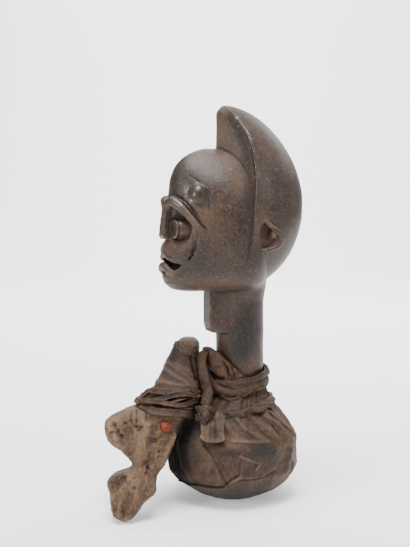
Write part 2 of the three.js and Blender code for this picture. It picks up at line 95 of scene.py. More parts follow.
# The table
# One wide pale sheet of paper stands behind the object and curves down under it, so no horizon shows.
# The class for materials is here, because the paper needs it first.
class Wire:
    """The output of a node, which sums and products turn into Math nodes."""

    def __init__(self, tree, socket):
        self.tree = tree
        self.socket = socket

    def maths(self, operation, first, second):
        return self.tree.node("ShaderNodeMath", {"operation": operation}, {0: first, 1: second})

    def __add__(self, other):
        return self.maths("ADD", self, other)

    def __radd__(self, other):
        return self.maths("ADD", other, self)

    def __sub__(self, other):
        return self.maths("SUBTRACT", self, other)

    def __rsub__(self, other):
        return self.maths("SUBTRACT", other, self)

    def __mul__(self, other):
        return self.maths("MULTIPLY", self, other)

    def __rmul__(self, other):
        return self.maths("MULTIPLY", other, self)

    def step(self, low, high):
        """0 below low, 1 above high and smooth between them."""
        ends = {"From Min": low, "From Max": high, "Value": self}
        return self.tree.node("ShaderNodeMapRange", {"interpolation_type": "SMOOTHSTEP"}, ends)


class Finish:
    """A material that is put together node by node."""

    def __init__(self, name):
        self.material = bpy.data.materials.new(name)
        self.material.use_nodes = True
        self.tree = self.material.node_tree
        self.surface = self.tree.nodes["Principled BSDF"]
        self.place = self.node("ShaderNodeTexCoord", {}, {}, "Object")

    def join(self, node, sockets):
        """Joins wires to the node's sockets, and sets its plain numbers and colours."""
        for key, value in sockets.items():
            if isinstance(value, Wire):
                self.tree.links.new(value.socket, node.inputs[key])
            else:
                node.inputs[key].default_value = value

    def node(self, kind, settings, sockets, output=0):
        node = self.tree.nodes.new(kind)
        for key, value in settings.items():
            setattr(node, key, value)
        self.join(node, sockets)
        return Wire(self, node.outputs[output])

    def attribute(self, name):
        return self.node("ShaderNodeAttribute", {"attribute_name": name}, {}, "Fac")

    def noise(self, grain, detail=3.0, stretch=(1, 1, 1), roughness=0.55, distortion=0.0):
        """Cloudy noise from 0 to 1 whose lumps are about grain millimetres across."""
        turned = self.node("ShaderNodeMapping", {}, {"Vector": self.place, "Scale": stretch})
        sockets = {"Vector": turned, "Scale": 1 / (grain * mm), "Detail": detail}
        sockets.update({"Roughness": roughness, "Distortion": distortion})
        return self.node("ShaderNodeTexNoise", {}, sockets)

    def cells(self, grain):
        """Distance to the nearest of points scattered about grain millimetres apart."""
        sockets = {"Vector": self.place, "Scale": 1 / (grain * mm)}
        return self.node("ShaderNodeTexVoronoi", {}, sockets, "Distance")

    def blend(self, share, first, second):
        """The first colour where share is 0 and the second where it is 1."""
        settings = {"data_type": "RGBA", "clamp_factor": True}
        return self.node("ShaderNodeMix", settings, {0: share, 6: first, 7: second}, 2)

    def layers(self, colour, *coats):
        """The colour under its coats, each told by its share and its colour."""
        for share, above in coats:
            colour = self.blend(share, colour, above)
        return colour

    def bump(self, height, depth, below=None):
        """A normal from a height of 0 to 1 that stands for depth millimetres."""
        sockets = {"Height": height, "Distance": depth * mm, "Strength": 1.0}
        if below is not None:
            sockets["Normal"] = below
        return self.node("ShaderNodeBump", {}, sockets, "Normal")

    def surface_inputs(self, inputs):
        self.join(self.surface, inputs)


def tint(red, green, blue):
    return (red, green, blue, 1)


def table():
    half_width = 1100
    front = 1600
    back = 1500
    bend = 700
    top = 2400
    arc = np.linspace(0.1, math.pi / 2, 12)
    outline = [(-front, 0), (back, 0)]
    outline += [(back + bend * math.sin(turn), bend * (1 - math.cos(turn))) for turn in arc]
    outline.append((back + bend, top))
    points = []
    for along_view, up in outline:
        for side in (-half_width, half_width):
            points.append((rightward * side - toward * along_view + Vector((0, 0, up))) * mm)
    faces = [(2 * i, 2 * i + 1, 2 * i + 3, 2 * i + 2) for i in range(len(outline) - 1)]
    mesh = bpy.data.meshes.new("table")
    mesh.from_pydata(points, [], faces)
    mesh.shade_smooth()
    return mesh


floor = bpy.data.objects.new("table", table())
bpy.context.collection.objects.link(floor)
paper = Finish("pale_paper")
shade = paper.noise(40, 2)
paper.surface_inputs({"Base Color": paper.blend(shade, tint(0.80, 0.80, 0.80), tint(0.83, 0.83, 0.83)),
                      "Roughness": 0.9, "Specular IOR Level": 0.1,
                      "Emission Color": tint(1, 1, 1), "Emission Strength": 0.36})
floor.data.materials.append(paper.material)


# The carved head
# Head, helmet crest, neck and throat panel are cut from one block of dense wood with an adze and a knife.
# Its skin is the zero level of a field of distances in mm, worked out near it and turned into a mesh.
wood_low, wood_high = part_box("carved_head")
head_height = 131.0
jaw_level = wood_high[2] / mm - head_height
neck_radius = 17.3
neck_foot = wood_low[2] / mm
grid_step = 0.62
block_steps = 8


def fall(share, power):
    """Falls from 1 to 0 as share runs from 0 to 1, between a straight line and a square corner."""
    return (1 - np.minimum(np.abs(share), 1) ** power) ** (1 / power)


def round_union(first, second, reach):
    """The nearer of two distances, rounded over where they meet."""
    share = np.clip(0.5 + 0.5 * (second - first) / reach, 0, 1)
    return second + (first - second) * share - reach * share * (1 - share)


def round_cut(first, second, reach):
    """The first form with the second cut out of it, rounded over where they meet."""
    return -round_union(-first, second, reach)


def lattice_noise(points, grain, seed):
    """Smooth noise from -1 to 1 at each point, with lumps about grain across."""
    spot = points / grain
    corner = np.floor(spot).astype(np.int64)
    share = spot - corner
    share = share * share * (3 - 2 * share)
    total = np.zeros(points.shape[:-1])
    for i in (0, 1):
        for j in (0, 1):
            for k in (0, 1):
                cell = corner + (i, j, k)
                code = cell[..., 0] * 73856093 ^ cell[..., 1] * 19349663 ^ cell[..., 2] * 83492791
                code ^= seed * 2654435761
                code = (code ^ (code >> 13)) * 1274126177
                value = ((code ^ (code >> 16)) & 0xFFFF) / 32767.5 - 1
                ends = [share[..., axis] if end else 1 - share[..., axis]
                        for axis, end in enumerate((i, j, k))]
                total += value * (ends[0] * ends[1]) * ends[2]
    return total


def bell(off, width):
    """1 where off is 0, falling away within width to both sides."""
    return np.exp(-(off / width) ** 2)


def smooth_path(stops, steps):
    """A smooth run of steps + 1 rows through the rows of stops, evenly along their number."""
    stops = np.array(stops, float)
    padded = np.vstack([2 * stops[0] - stops[1], stops, 2 * stops[-1] - stops[-2]])
    rows = []
    for share in np.linspace(0, len(stops) - 1 - 1e-9, steps + 1):
        i = int(share)
        t = share - i
        a, b, c, d = padded[i:i + 4]
        rows.append(0.5 * (2 * b + (c - a) * t + (2 * a - 5 * b + 4 * c - d) * t * t
                           + (3 * b - a - 3 * c + d) * t ** 3))
    return np.array(rows)


def rod_distance(points, path):
    """Distance to a round rod whose path has rows of x, y, z and radius."""
    nearest = np.full(len(points), 1e9)
    for start, end in zip(path[:-1], path[1:]):
        run = end[:3] - start[:3]
        share = np.clip((points - start[:3]) @ run / (run @ run), 0, 1)
        gap = np.linalg.norm(points - start[:3] - share[:, None] * run, axis=1)
        nearest = np.minimum(nearest, gap - start[3] - share * (end[3] - start[3]))
    return nearest


def boxed(distance, low, high, reach=0):
    """The distance function, which now knows the box of its form and how far the form stands past it."""
    distance.low = np.array(low)
    distance.high = np.array(high)
    distance.reach = reach
    return distance


def rod(path):
    """The distance function of a rod."""
    middles = path[:, :3]
    return boxed(lambda points: rod_distance(points, path), middles.min(0), middles.max(0), path[:, 3].max())


def ball(middle, half):
    """Roughly the distance to a ball drawn out to three half sizes."""
    half = np.array(half, float)

    def distance(points):
        offset = points - middle
        inner = np.linalg.norm(offset / half, axis=1)
        slope = np.linalg.norm(offset / np.square(half), axis=1)
        return inner * (inner - 1) / np.maximum(slope, 1e-6)
    return boxed(distance, middle - half, middle + half)


class Sections:
    """A form told by its outline at each level, as a radius by turn round a middle that may shift."""

    turns = np.linspace(0, math.pi, 181)

    def __init__(self, levels, outline, middle):
        self.levels = levels
        self.middles = np.array([middle(level) for level in levels])
        rows = []
        for level, centre in zip(levels, self.middles):
            side, front = outline(level)
            turn = np.arctan2(side, front - centre)
            rows.append(np.interp(self.turns, turn, np.hypot(side, front - centre)))
        self.radius = np.array(rows)
        by_level = np.gradient(self.radius, levels[1] - levels[0], axis=0)
        by_turn = np.gradient(self.radius, self.turns[1], axis=1) / np.maximum(self.radius, 1)
        self.slope = np.sqrt(1 + np.minimum(by_level, 12) ** 2 + np.minimum(by_turn, 12) ** 2)

    def distance(self, side, front, level):
        row = (level - self.levels[0]) / (self.levels[1] - self.levels[0])
        row = np.clip(row, 0, len(self.levels) - 1.001)
        i = row.astype(int)
        a = row - i
        centre = self.middles[i] * (1 - a) + self.middles[i + 1] * a
        reach = np.hypot(side, front - centre)
        column = np.arctan2(side, front - centre) / self.turns[1]
        j = np.clip(column.astype(int), 0, len(self.turns) - 2)
        b = np.clip(column - j, 0, 1)
        corners = ((i, j, (1 - a) * (1 - b)), (i + 1, j, a * (1 - b)),
                   (i, j + 1, (1 - a) * b), (i + 1, j + 1, a * b))
        radius = sum(self.radius[r, c] * weight for r, c, weight in corners)
        slope = sum(self.slope[r, c] * weight for r, c, weight in corners)
        ends = np.maximum(self.levels[0] - level, level - self.levels[-1])
        return np.maximum((reach - radius) / slope, ends)


# The face and skull, in shares of the height of the head, as levels above the jaw.
widest = 0.35
brow_level = 0.55
skull_half_width = 0.277
skull_top = 0.767
dome_top = 0.77
dome_front = 0.15
dome_reach = 0.263
nape_reach = 0.17
skull_middle = 0.05
face_front = ([0, 0.02, 0.05, 0.085, 0.12, 0.19, 0.26, 0.34, 0.44, brow_level],
              [0.35, 0.41, 0.445, 0.456, 0.452, 0.446, 0.434, 0.424, 0.42, 0.413])


def skull_half(level):
    if level > widest:
        return skull_half_width * fall((level - widest) / (skull_top - widest), 1.6)
    below = (widest - level) / widest
    return skull_half_width * (1 - 0.2 * below ** 3 - 0.35 * below ** 9)


def skull_front(level):
    if level < brow_level:
        return np.interp(level, *face_front)
    return dome_front + dome_reach * fall((level - brow_level) / (dome_top - brow_level), 2.3)


def skull_skin(turn, level):
    ahead = np.cos(turn)
    narrow = (0.1 + 0.2 * max(0, 1 - level / widest)) * np.maximum(0, ahead)
    forward = (skull_front(level) - skull_middle) * np.maximum(ahead, 0) ** 0.85
    front = skull_middle + np.where(ahead > 0, forward, nape_reach * ahead)
    return skull_half(level) * np.sin(turn) * (1 - narrow), front


def head_point(side, front, level):
    return np.array([side * head_height, -front * head_height, jaw_level + level * head_height])


def on_face(side, level, proud=0.0):
    """A point on the left half of the face, standing proud of its skin."""
    turns = np.linspace(0, math.pi / 2, 400)
    sides, fronts = skull_skin(turns, level)
    return head_point(side, np.interp(side, sides, fronts) + proud, level)


def on_skull(turn, level, proud=0.0):
    side, front = skull_skin(np.array([math.radians(turn)]), level)
    out = Vector((side[0], front[0] - skull_middle)).normalized()
    return head_point(side[0] + out.x * proud, front[0] + out.y * proud, level)


def head_sections(levels, outline, middle):
    """Sections in mm of a form told in shares of the height of the head."""
    def sized(level):
        side, front = outline((level - jaw_level) / head_height)
        return side * head_height, front * head_height

    def centre(level):
        return middle((level - jaw_level) / head_height) * head_height
    return Sections(jaw_level + levels * head_height, sized, centre)


skull_turns = np.linspace(0, math.pi, 240)
skull = head_sections(np.linspace(0, 0.766, 160), lambda level: skull_skin(skull_turns, level),
                      lambda level: skull_middle)

# The crest is a helmet with a sharp keel in front and an arched rim where its sides begin.
crest_foot = 0.03
crest_widest = 0.395
crest_half_width = 0.284
crest_deepest = 0.481
crest_depth = 0.36
crest_peak = 0.1
crest_heel = 0.014
keel_front = 0.148
keel_curve_foot = 0.94
rim_hindmost = 0.754
rim_front = 0.014


def crest_half(level):
    if level > crest_widest:
        return crest_half_width * fall((level - crest_widest) / (1 - crest_widest), 1.45)
    return crest_half_width * fall((crest_widest - level) / crest_widest, 2)


def crest_back(level):
    if level > crest_deepest:
        share = (level - crest_deepest) / (1 - crest_deepest)
        return crest_peak - (crest_depth + crest_peak) * fall(share, 1.8)
    return -crest_depth * fall((crest_deepest - level) / (crest_deepest - crest_heel), 2)


def crest_rim_front(level):
    if level > rim_hindmost:
        return rim_front + 0.091 * ((level - rim_hindmost) / (1 - rim_hindmost)) ** 2
    return rim_front + 0.036 * min(1, (rim_hindmost - level) / 0.31) ** 2


def crest_keel(level):
    return keel_front - 0.043 * max(0, (level - keel_curve_foot) / 0.06) ** 2


def crest_outline(level):
    half = max(crest_half(level), 0.004)
    rim = crest_rim_front(level)
    keel = max(crest_keel(level), rim + 0.004)
    back = min(crest_back(level), rim - 0.006)
    across = np.linspace(0, 1, 24)[:-1]
    hollow = 0.07 * np.sin(math.pi * across)
    front_face = keel - (keel - rim) * (across + hollow)
    turn = np.linspace(0, math.pi / 2, 60)
    side = np.concatenate([half * across, half * np.cos(turn) ** 0.92])
    front = np.concatenate([front_face, rim - (rim - back) * np.sin(turn)])
    return side, front


crest = head_sections(np.linspace(crest_foot, 0.998, 200), crest_outline,
                      lambda level: 0.5 * (crest_rim_front(level) + min(crest_back(level), 0.09)))


def rim_path(behind, outward, thickness, lowest=0.44, highest=0.93):
    """The arched rim of the crest, or a line beside it, thinning out at its top."""
    rows = []
    for v in lowest + (highest - lowest) * np.sin(np.linspace(0, math.pi / 2, 16)):
        radius = thickness * min(1, 0.25 + 9 * (highest - v))
        side = crest_half(v) - 0.003 + outward
        rows.append([*head_point(side, crest_rim_front(v) + 0.002 - behind, v), radius])
    return smooth_path(rows, 34)


def skin_rod(place, steps, *stops):
    """A rod along the skin, by stops of the three shares that place takes and a radius in mm."""
    return smooth_path([[*place(*where), radius] for *where, radius in stops], steps)


brow_rod = skin_rod(
    on_face, 26, (0, 0.46, 0.008, 3.2), (0.02, 0.47, 0.011, 3.6), (0.048, 0.487, 0.011, 3.9),
    (0.088, 0.462, 0.004, 3.7), (0.122, 0.428, -0.002, 3.2), (0.154, 0.39, -0.004, 2.7),
    (0.176, 0.357, -0.006, 2.2), (0.187, 0.322, -0.012, 1.5))
brow_groove = skin_rod(
    on_face, 24, (0.03, 0.524, 0.006, 0.4), (0.058, 0.516, 0.003, 0.8), (0.1, 0.489, 0, 1.0),
    (0.13, 0.46, 0, 1.0), (0.153, 0.427, 0, 1.0), (0.172, 0.396, 0, 0.9), (0.19, 0.366, 0, 0.8),
    (0.204, 0.345, -0.002, 0.4))
temple_fold = skin_rod(
    on_face, 20, (0.1, 0.51, -0.006, 1.4), (0.126, 0.492, -0.003, 1.9), (0.15, 0.47, -0.002, 2.0),
    (0.172, 0.438, -0.002, 1.8), (0.189, 0.404, -0.003, 1.5), (0.204, 0.366, -0.006, 0.9))
upper_lip = skin_rod(
    on_face, 22, (0, 0.21, 0.002, 1.7), (0.045, 0.19, 0.003, 1.7), (0.085, 0.177, 0.003, 1.7),
    (0.112, 0.174, 0.004, 1.5), (0.132, 0.184, 0.003, 1.2), (0.142, 0.196, -0.003, 0.8))
lower_lip = skin_rod(
    on_face, 24, (0, 0.147, 0.004, 2.8), (0.026, 0.139, 0.004, 2.7), (0.055, 0.12, 0.003, 2.4),
    (0.085, 0.114, 0.002, 1.9), (0.112, 0.137, 0.001, 1.6), (0.132, 0.166, -0.001, 1.2),
    (0.143, 0.19, -0.005, 0.8))
muzzle_groove = skin_rod(
    on_face, 16, (0.158, 0.325, 0, 0.4), (0.165, 0.29, 0.003, 0.8), (0.167, 0.254, 0.004, 0.9),
    (0.162, 0.224, 0.004, 0.9), (0.151, 0.2, 0.003, 0.8), (0.14, 0.182, 0.002, 0.4))
cheek_edge = skin_rod(
    on_face, 10, (0.186, 0.34, -0.002, 1.2), (0.182, 0.3, 0.001, 1.5), (0.177, 0.26, 0.001, 1.5),
    (0.168, 0.222, -0.001, 1.2))
temple_groove = skin_rod(
    on_skull, 24, (35, 0.622, -0.001, 0.1), (40, 0.613, 0.001, 0.3), (45.5, 0.597, 0.003, 0.7),
    (51.5, 0.562, 0.003, 0.9), (55, 0.52, 0.002, 0.8), (56, 0.482, 0.001, 0.5), (54.5, 0.456, 0, 0.2))
ear_groove = skin_rod(
    on_skull, 16, (88.5, 0.425, 0.003, 0.3), (88.5, 0.4, 0.002, 0.6), (88, 0.34, 0.002, 0.8),
    (87, 0.27, 0.002, 0.9), (86.5, 0.215, 0.002, 0.8), (86, 0.19, 0.002, 0.3))
ear_fold = skin_rod(
    head_point, 30, (0.266, 0.034, 0.43, 0.9), (0.277, -0.005, 0.39, 1.4), (0.285, -0.05, 0.35, 1.7),
    (0.286, -0.084, 0.325, 1.9), (0.284, -0.099, 0.29, 1.9), (0.282, -0.088, 0.258, 1.9),
    (0.279, -0.052, 0.24, 1.7), (0.27, 0.0, 0.23, 1.2))
rim_groove = rim_path(-0.012, 0.001, 0.8)
rim_bead = rim_path(0, 0, 0.85)

eye_radius = 6.9
eye_middle = head_point(0.018 + eye_radius / head_height, 0.428, 0.343)
eye_depth = 15.0
eye_disc = 2.2


def eye_distance(points):
    """A short round tube along the way the face looks, with a disc on its end."""
    soften = 1.1
    round_middle = np.hypot(points[:, 0] - eye_middle[0], points[:, 2] - eye_middle[2])
    behind = points[:, 1] - eye_middle[1]
    past = behind - eye_disc
    waist = 1.1 * bell(past, 0.9) + 0.5 * np.clip(past / 2, 0, 1)
    across = round_middle - eye_radius + waist + soften - 0.16 * np.maximum(past, 0)
    deep = np.abs(behind - eye_depth / 2) - eye_depth / 2 + soften
    outside = np.hypot(np.maximum(across, 0), np.maximum(deep, 0))
    return outside + np.minimum(np.maximum(across, deep), 0) - soften


eye = boxed(eye_distance, eye_middle - (eye_radius, 1, eye_radius),
            eye_middle + (eye_radius, eye_depth, eye_radius))


def nose_distance(points):
    """A narrow wedge with flat sides, a flat front and a flat base."""
    base = jaw_level + 0.288 * head_height
    top = jaw_level + 0.49 * head_height
    share = np.clip((points[:, 2] - base) / (top - base), 0, 1)
    half = 4.4 - 1.5 * share
    front = head_height * np.interp(share, [0, 0.1, 1], [0.463, 0.472, 0.45])
    parts = (points[:, 0] - half, -points[:, 1] - front, base - points[:, 2], points[:, 2] - top)
    return np.maximum.reduce(parts)


nose = boxed(nose_distance, head_point(0, 0.48, 0.28), head_point(0.035, 0.3, 0.49))

ear_hollow = ball(head_point(0.297, -0.03, 0.318), (5.6, 8.0, 10.5))
ear_bulb = ball(head_point(0.273, -0.056, 0.318), (3.5, 2.2, 3.2))
neck_flare_top = jaw_level + 0.09 * head_height
panel_hang = 30.0
panel_reach = 26.6
panel_half_width = 5.5


def neck_distance(points):
    """The round neck, a little wider under the jaw."""
    up = points[:, 2]
    flare = 1.8 * np.clip((up - jaw_level + 8) / 12, 0, 1)
    around = np.hypot(points[:, 0], points[:, 1]) - neck_radius - flare
    return np.maximum(np.maximum(around, neck_foot - up), up - neck_flare_top)


def panel_distance(points):
    """The flat-faced panel down the throat, its front corner rounded at the foot."""
    foot = jaw_level - panel_hang
    up = points[:, 2]
    side = points[:, 0]
    front = -points[:, 1]
    lift = np.clip(1 - (up - foot) / 9, 0, 1)
    flat = front - panel_reach + 2.6 * lift ** 2.2
    slant = (side - panel_half_width - (panel_reach - front) * 0.44) * 0.915
    body = np.maximum(flat, slant)
    return np.maximum(np.maximum(body, foot - up), up - jaw_level - 4)


panel = boxed(panel_distance, [0, -27, jaw_level - panel_hang], [14, 0, jaw_level + 4])

mouth_hollow = ball(head_point(0, 0.45, 0.15), head_height * np.array([0.128, 0.115, 0.042]))
tongue = ball(head_point(0, 0.375, 0.13), head_height * np.array([0.085, 0.07, 0.022]))
eye_hollow = ball(head_point(0.112, 0.438, 0.362), head_height * np.array([0.09, 0.088, 0.118]))
muzzle = ball(head_point(0, 0.325, 0.222), head_height * np.array([0.172, 0.13, 0.098]))
temple_boss = ball(on_skull(40.5, 0.512, -0.033), (6.9, 6.9, 9.0))

# The forms that join the face and then the whole head, in this order, with the reach over which each one's
# edge is rounded and True where it is cut out.
face_forms = [(rod(temple_groove), 0.6, True), (temple_boss, 1.5), (eye_hollow, 1.6, True), (muzzle, 1.6)]
head_forms = [
    (rod(rim_groove), 0.9, True), (rod(rim_bead), 0.6), (nose, 1.0), (rod(temple_fold), 1.8),
    (rod(brow_rod), 2.0), (rod(brow_groove), 0.8, True), (eye, 0.8), (rod(cheek_edge), 2.2),
    (mouth_hollow, 1.2, True), (tongue, 1.5), (rod(upper_lip), 1.8), (rod(lower_lip), 2.0),
    (rod(muzzle_groove), 0.9, True), (rod(ear_groove), 0.6, True), (ear_hollow, 1.5, True),
    (rod(ear_fold), 1.2), (ear_bulb, 1.2)]


def head_field(points):
    """Distance in mm from each point to the carved skin, below zero inside the wood."""
    spot = points.copy()
    spot[:, 0] = np.abs(spot[:, 0])
    side, front, up = spot[:, 0], -spot[:, 1], spot[:, 2]
    face = round_cut(skull.distance(side, front, up), up - jaw_level, 3.0)

    def shape(field, form, reach, cut=False):
        margin = form.reach + 3 * reach + 1
        near = np.all((spot > form.low - margin) & (spot < form.high + margin), axis=1)
        if near.any():
            join = round_cut if cut else round_union
            field[near] = join(field[near], form(spot[near]), reach)

    for form in face_forms:
        shape(face, *form)
    field = round_union(face, crest.distance(side, front, up), 0.7)
    for form in head_forms:
        shape(field, *form)
    field = round_union(field, neck_distance(spot), 2.2)
    shape(field, panel, 0.8)
    wander = 0.17 * lattice_noise(points, 11, 3) + 0.06 * lattice_noise(points, 4, 5)
    return field + wander * (up > neck_foot + 5)


def near_skin(field_of, low, high):
    """The field on a grid, worked out finely in the blocks near its zero level and roughly elsewhere."""
    size = block_steps * grid_step
    counts = np.ceil((np.array(high) - low) / size).astype(int)
    cells = np.stack(np.meshgrid(*[np.arange(n) for n in counts], indexing="ij"), -1).reshape(-1, 3)
    rough = field_of(low + (cells + 0.5) * size)
    grid = rough.reshape(counts)
    for axis in range(3):
        grid = np.repeat(grid, block_steps, axis)
    inner = np.stack(np.meshgrid(*[np.arange(block_steps)] * 3, indexing="ij"), -1).reshape(-1, 3)
    busy = cells[np.abs(rough) < 1.5 * size]
    for part in np.array_split(busy, max(1, len(busy) // 1500)):
        spots = (part[:, None] * block_steps + inner[None]).reshape(-1, 3)
        grid[spots[:, 0], spots[:, 1], spots[:, 2]] = field_of(low + spots * grid_step)
    return grid


def skin_mesh(name, grid, low):
    """A mesh of the grid's zero level: a point in each crossed cell, a square for each crossed edge."""
    inside = grid < 0
    count = np.zeros(np.array(grid.shape) - 1, int)
    corners = [(i, j, k) for i in (0, 1) for j in (0, 1) for k in (0, 1)]
    nx, ny, nz = count.shape
    for i, j, k in corners:
        count += inside[i:i + nx, j:j + ny, k:k + nz]
    cells = np.argwhere((count > 0) & (count < 8))
    number = np.full(count.shape, -1)
    number[tuple(cells.T)] = np.arange(len(cells))
    total = np.zeros((len(cells), 3))
    crossings = np.zeros(len(cells))
    for a in corners:
        for axis in range(3):
            if a[axis]:
                continue
            b = list(a)
            b[axis] = 1
            first = grid[tuple((cells + a).T)]
            second = grid[tuple((cells + b).T)]
            crossed = (first < 0) != (second < 0)
            share = first[crossed] / (first[crossed] - second[crossed])
            spot = np.tile(np.array(a, float), (len(share), 1))
            spot[:, axis] = share
            total[crossed] += spot
            crossings[crossed] += 1
    points = (cells + total / crossings[:, None]) * grid_step + low
    squares = []
    for axis in range(3):
        step = [0, 0, 0]
        step[axis] = 1
        b, c = (axis + 1) % 3, (axis + 2) % 3
        head = inside[tuple(slice(0, n - s) for n, s in zip(inside.shape, step))]
        tail = inside[tuple(slice(s, n) for n, s in zip(inside.shape, step))]
        edges = np.argwhere(head != tail)
        edges = edges[np.all((edges > 0) & (edges < np.array(count.shape)), axis=1)]
        ring = []
        for db, dc in ((-1, -1), (0, -1), (0, 0), (-1, 0)):
            spot = edges.copy()
            spot[:, b] += db
            spot[:, c] += dc
            ring.append(number[tuple(spot.T)])
        ring = np.stack(ring, 1)
        leaving = inside[tuple(edges.T)]
        squares.append(np.where(leaving[:, None], ring, ring[:, ::-1]))
    squares = np.concatenate(squares)
    mesh = bpy.data.meshes.new(name)
    mesh.from_pydata(points * mm, [], squares[np.all(squares >= 0, axis=1)])
    mesh.shade_smooth()
    return mesh


def mark(mesh, name, values):
    """Keeps one number for each point of the mesh as an attribute."""
    mesh.attributes.new(name, "FLOAT", "POINT")
    mesh.attributes[name].data.foreach_set("value", np.asarray(values, float).ravel())


def mesh_points(mesh):
    points = np.empty(3 * len(mesh.vertices))
    mesh.vertices.foreach_get("co", points)
    return points.reshape(-1, 3) / mm


def stand_out(mesh, rounds, way=1):
    """Keeps on each point how far it stands out of its surroundings, in mm, as the attribute proud."""
    count = len(mesh.vertices)
    points = mesh_points(mesh)
    normals = np.empty(3 * count)
    mesh.vertices.foreach_get("normal", normals)
    normals = normals.reshape(-1, 3)
    edges = np.empty(2 * len(mesh.edges), int)
    mesh.edges.foreach_get("vertices", edges)
    first, second = edges.reshape(-1, 2).T
    ends = np.concatenate([first, second])
    others = np.concatenate([second, first])
    valence = np.maximum(np.bincount(ends, minlength=count), 1)

    def spread(values):
        return np.bincount(ends, values[others], count) / valence
    eased = points.T.copy()
    for _ in range(rounds):
        eased = np.array([0.4 * row + 0.6 * spread(row) for row in eased])
    height = np.sum((points - eased.T) * normals, axis=1)
    for _ in range(2):
        height = spread(height)
    mark(mesh, "proud", way * height)


def link(name, mesh, *materials):
    """An object at the origin with the mesh and its materials."""
    piece = bpy.data.objects.new(name, mesh)
    bpy.context.collection.objects.link(piece)
    for material in materials:
        mesh.materials.append(material)
    return piece


def finished_mesh(piece):
    """The piece's mesh with its modifiers applied, in place of the plain one."""
    graph = bpy.context.evaluated_depsgraph_get()
    mesh = bpy.data.meshes.new_from_object(piece.evaluated_get(graph), depsgraph=graph)
    piece.modifiers.clear()
    piece.data = mesh
    return mesh


def thinned(piece, triangles):
    """Thins the piece's mesh to about that many triangles, where it is flattest first."""
    now = sum(len(face.vertices) - 2 for face in piece.data.polygons)
    if now > triangles:
        thin = piece.modifiers.new("thin", "DECIMATE")
        thin.ratio = triangles / now
        finished_mesh(piece)
    piece.data.shade_smooth()


field_margin = 4
field_low = np.array(wood_low) / mm - field_margin
field_high = np.array(wood_high) / mm + field_margin
head_grid = near_skin(head_field, field_low, field_high)
head = link("carved_wood_head", skin_mesh("carved_wood_head", head_grid, field_low))
thinned(head, 190000)
stand_out(head.data, 14)

head_points = mesh_points(head.data)
near_side = head_points.copy()
near_side[:, 0] = np.abs(near_side[:, 0])


def round_spots(points, spots):
    """1 in the middle of each spot, told by its middle and its half size in mm."""
    return sum(np.exp(-np.sum(((points - middle) / half) ** 2, axis=1)) for middle, half in spots)


def seam_distance(points):
    """How far a point lies from the line where the helmet's front meets the forehead."""
    side, front, up = np.abs(points[:, 0]), -points[:, 1], points[:, 2]
    near = np.hypot(skull.distance(side, front, up), crest.distance(side, front, up))
    return np.where(up > jaw_level + 0.43 * head_height, near, 9)


def on_neck(turn, up):
    return neck_radius * math.sin(math.radians(turn)), -neck_radius * math.cos(math.radians(turn)), up


# Red pigment is left on the neck and in the ear, and a dark stain on the neck above the bundle and round the
# jaw. Painted shade darkens the lower back of the head, the back of the neck, the helmet's front beside the
# rim and the grooves. Brow, eye and helmet are polished by handling, and the tan spots are rubbed down to the
# wood.
mark(head.data, "red", round_spots(head_points, [
    (on_neck(52, 120), (4, 4, 4)), (on_neck(66, 128), (3, 3, 3)), (on_neck(46, 126), (3, 3, 5)),
    (on_neck(54, 119), (2, 2, 2)), (on_neck(68, 130), (2, 2, 3)),
    (head_point(0.27, -0.05, 0.285), (2, 3.5, 3.5))]))
# These are real stains, save the last two spots, which paint shade on the lower back of the head and the back
# of the neck.
mark(head.data, "stain_and_shade", round_spots(head_points, [
    (on_neck(58, 112), (9, 9, 11)), (on_neck(75, 126), (9, 9, 14)), (on_neck(62, 120), (9, 9, 11)),
    (on_neck(68, 106), (9, 9, 8)), (on_neck(-60, 118), (12, 12, 14)),
    (on_skull(40, 0.2), (16, 16, 9)), (on_skull(62, 0.12), (18, 18, 8)), (on_skull(-70, 0.35), (14, 22, 18)),
    (on_skull(24, 0.61), (14, 14, 11)), (on_skull(-30, 0.6), (18, 16, 14)), (eye_middle, (6, 3, 6)),
    (on_skull(56, 0.53), (7, 9, 9)), (on_face(0.1, 0.43), (4, 5, 4)),
    (head_point(0.15, -0.25, 0.14), (24, 26, 17)), (on_neck(112, 128), (10, 14, 20))]))
upper_side = near_side[:, 2] > jaw_level + 0.6 * head_height
rim_highlight = bell(rod_distance(near_side, rim_bead), 0.7) * upper_side
# The crease mark paints shade into the temple, ear and rim grooves.
cuts = np.minimum(rod_distance(near_side, temple_groove), rod_distance(near_side, ear_groove))
cuts = np.minimum(cuts, np.where(upper_side, rod_distance(near_side, rim_groove), 9))
mark(head.data, "crease", bell(cuts, 0.8))
mark(head.data, "seam", bell(seam_distance(head_points), 0.8))
mark(head.data, "shade", bell(rod_distance(near_side, rim_path(-0.035, -0.02, 1.0)), 3.5))
mark(head.data, "polish", round_spots(head_points, [
    (on_skull(39.5, 0.525), (6, 6, 7)), (on_face(0.1, 0.47), (9, 7, 5)), (eye_middle, (7, 5, 7)),
    (head_point(0.26, -0.02, 0.62), (6, 8, 14)), (on_skull(66, 0.56), (8, 8, 9))]) + 2.2 * rim_highlight)
mark(head.data, "tan", round_spots(head_points, [
    (on_neck(25, 101), (8, 9, 13)), (on_neck(95, 100), (9, 9, 10)),
    (head_point(0.03, 0.13, 0.88), (7, 6, 16)),
    (head_point(0.12, 0.15, 0.72), (8, 10, 8)), (head_point(0.2, 0.1, 0.6), (7, 8, 12)),
    (head_point(0.26, 0.03, 0.36), (5, 5, 14)),
    (on_face(0.15, 0.36), (5, 6, 9)), (on_face(0.12, 0.5), (5, 5, 4)), (on_face(0.06, 0.25), (9, 7, 6)),
    (on_skull(54, 0.42), (8, 8, 9)), (on_skull(70, 0.06), (14, 14, 7))]))

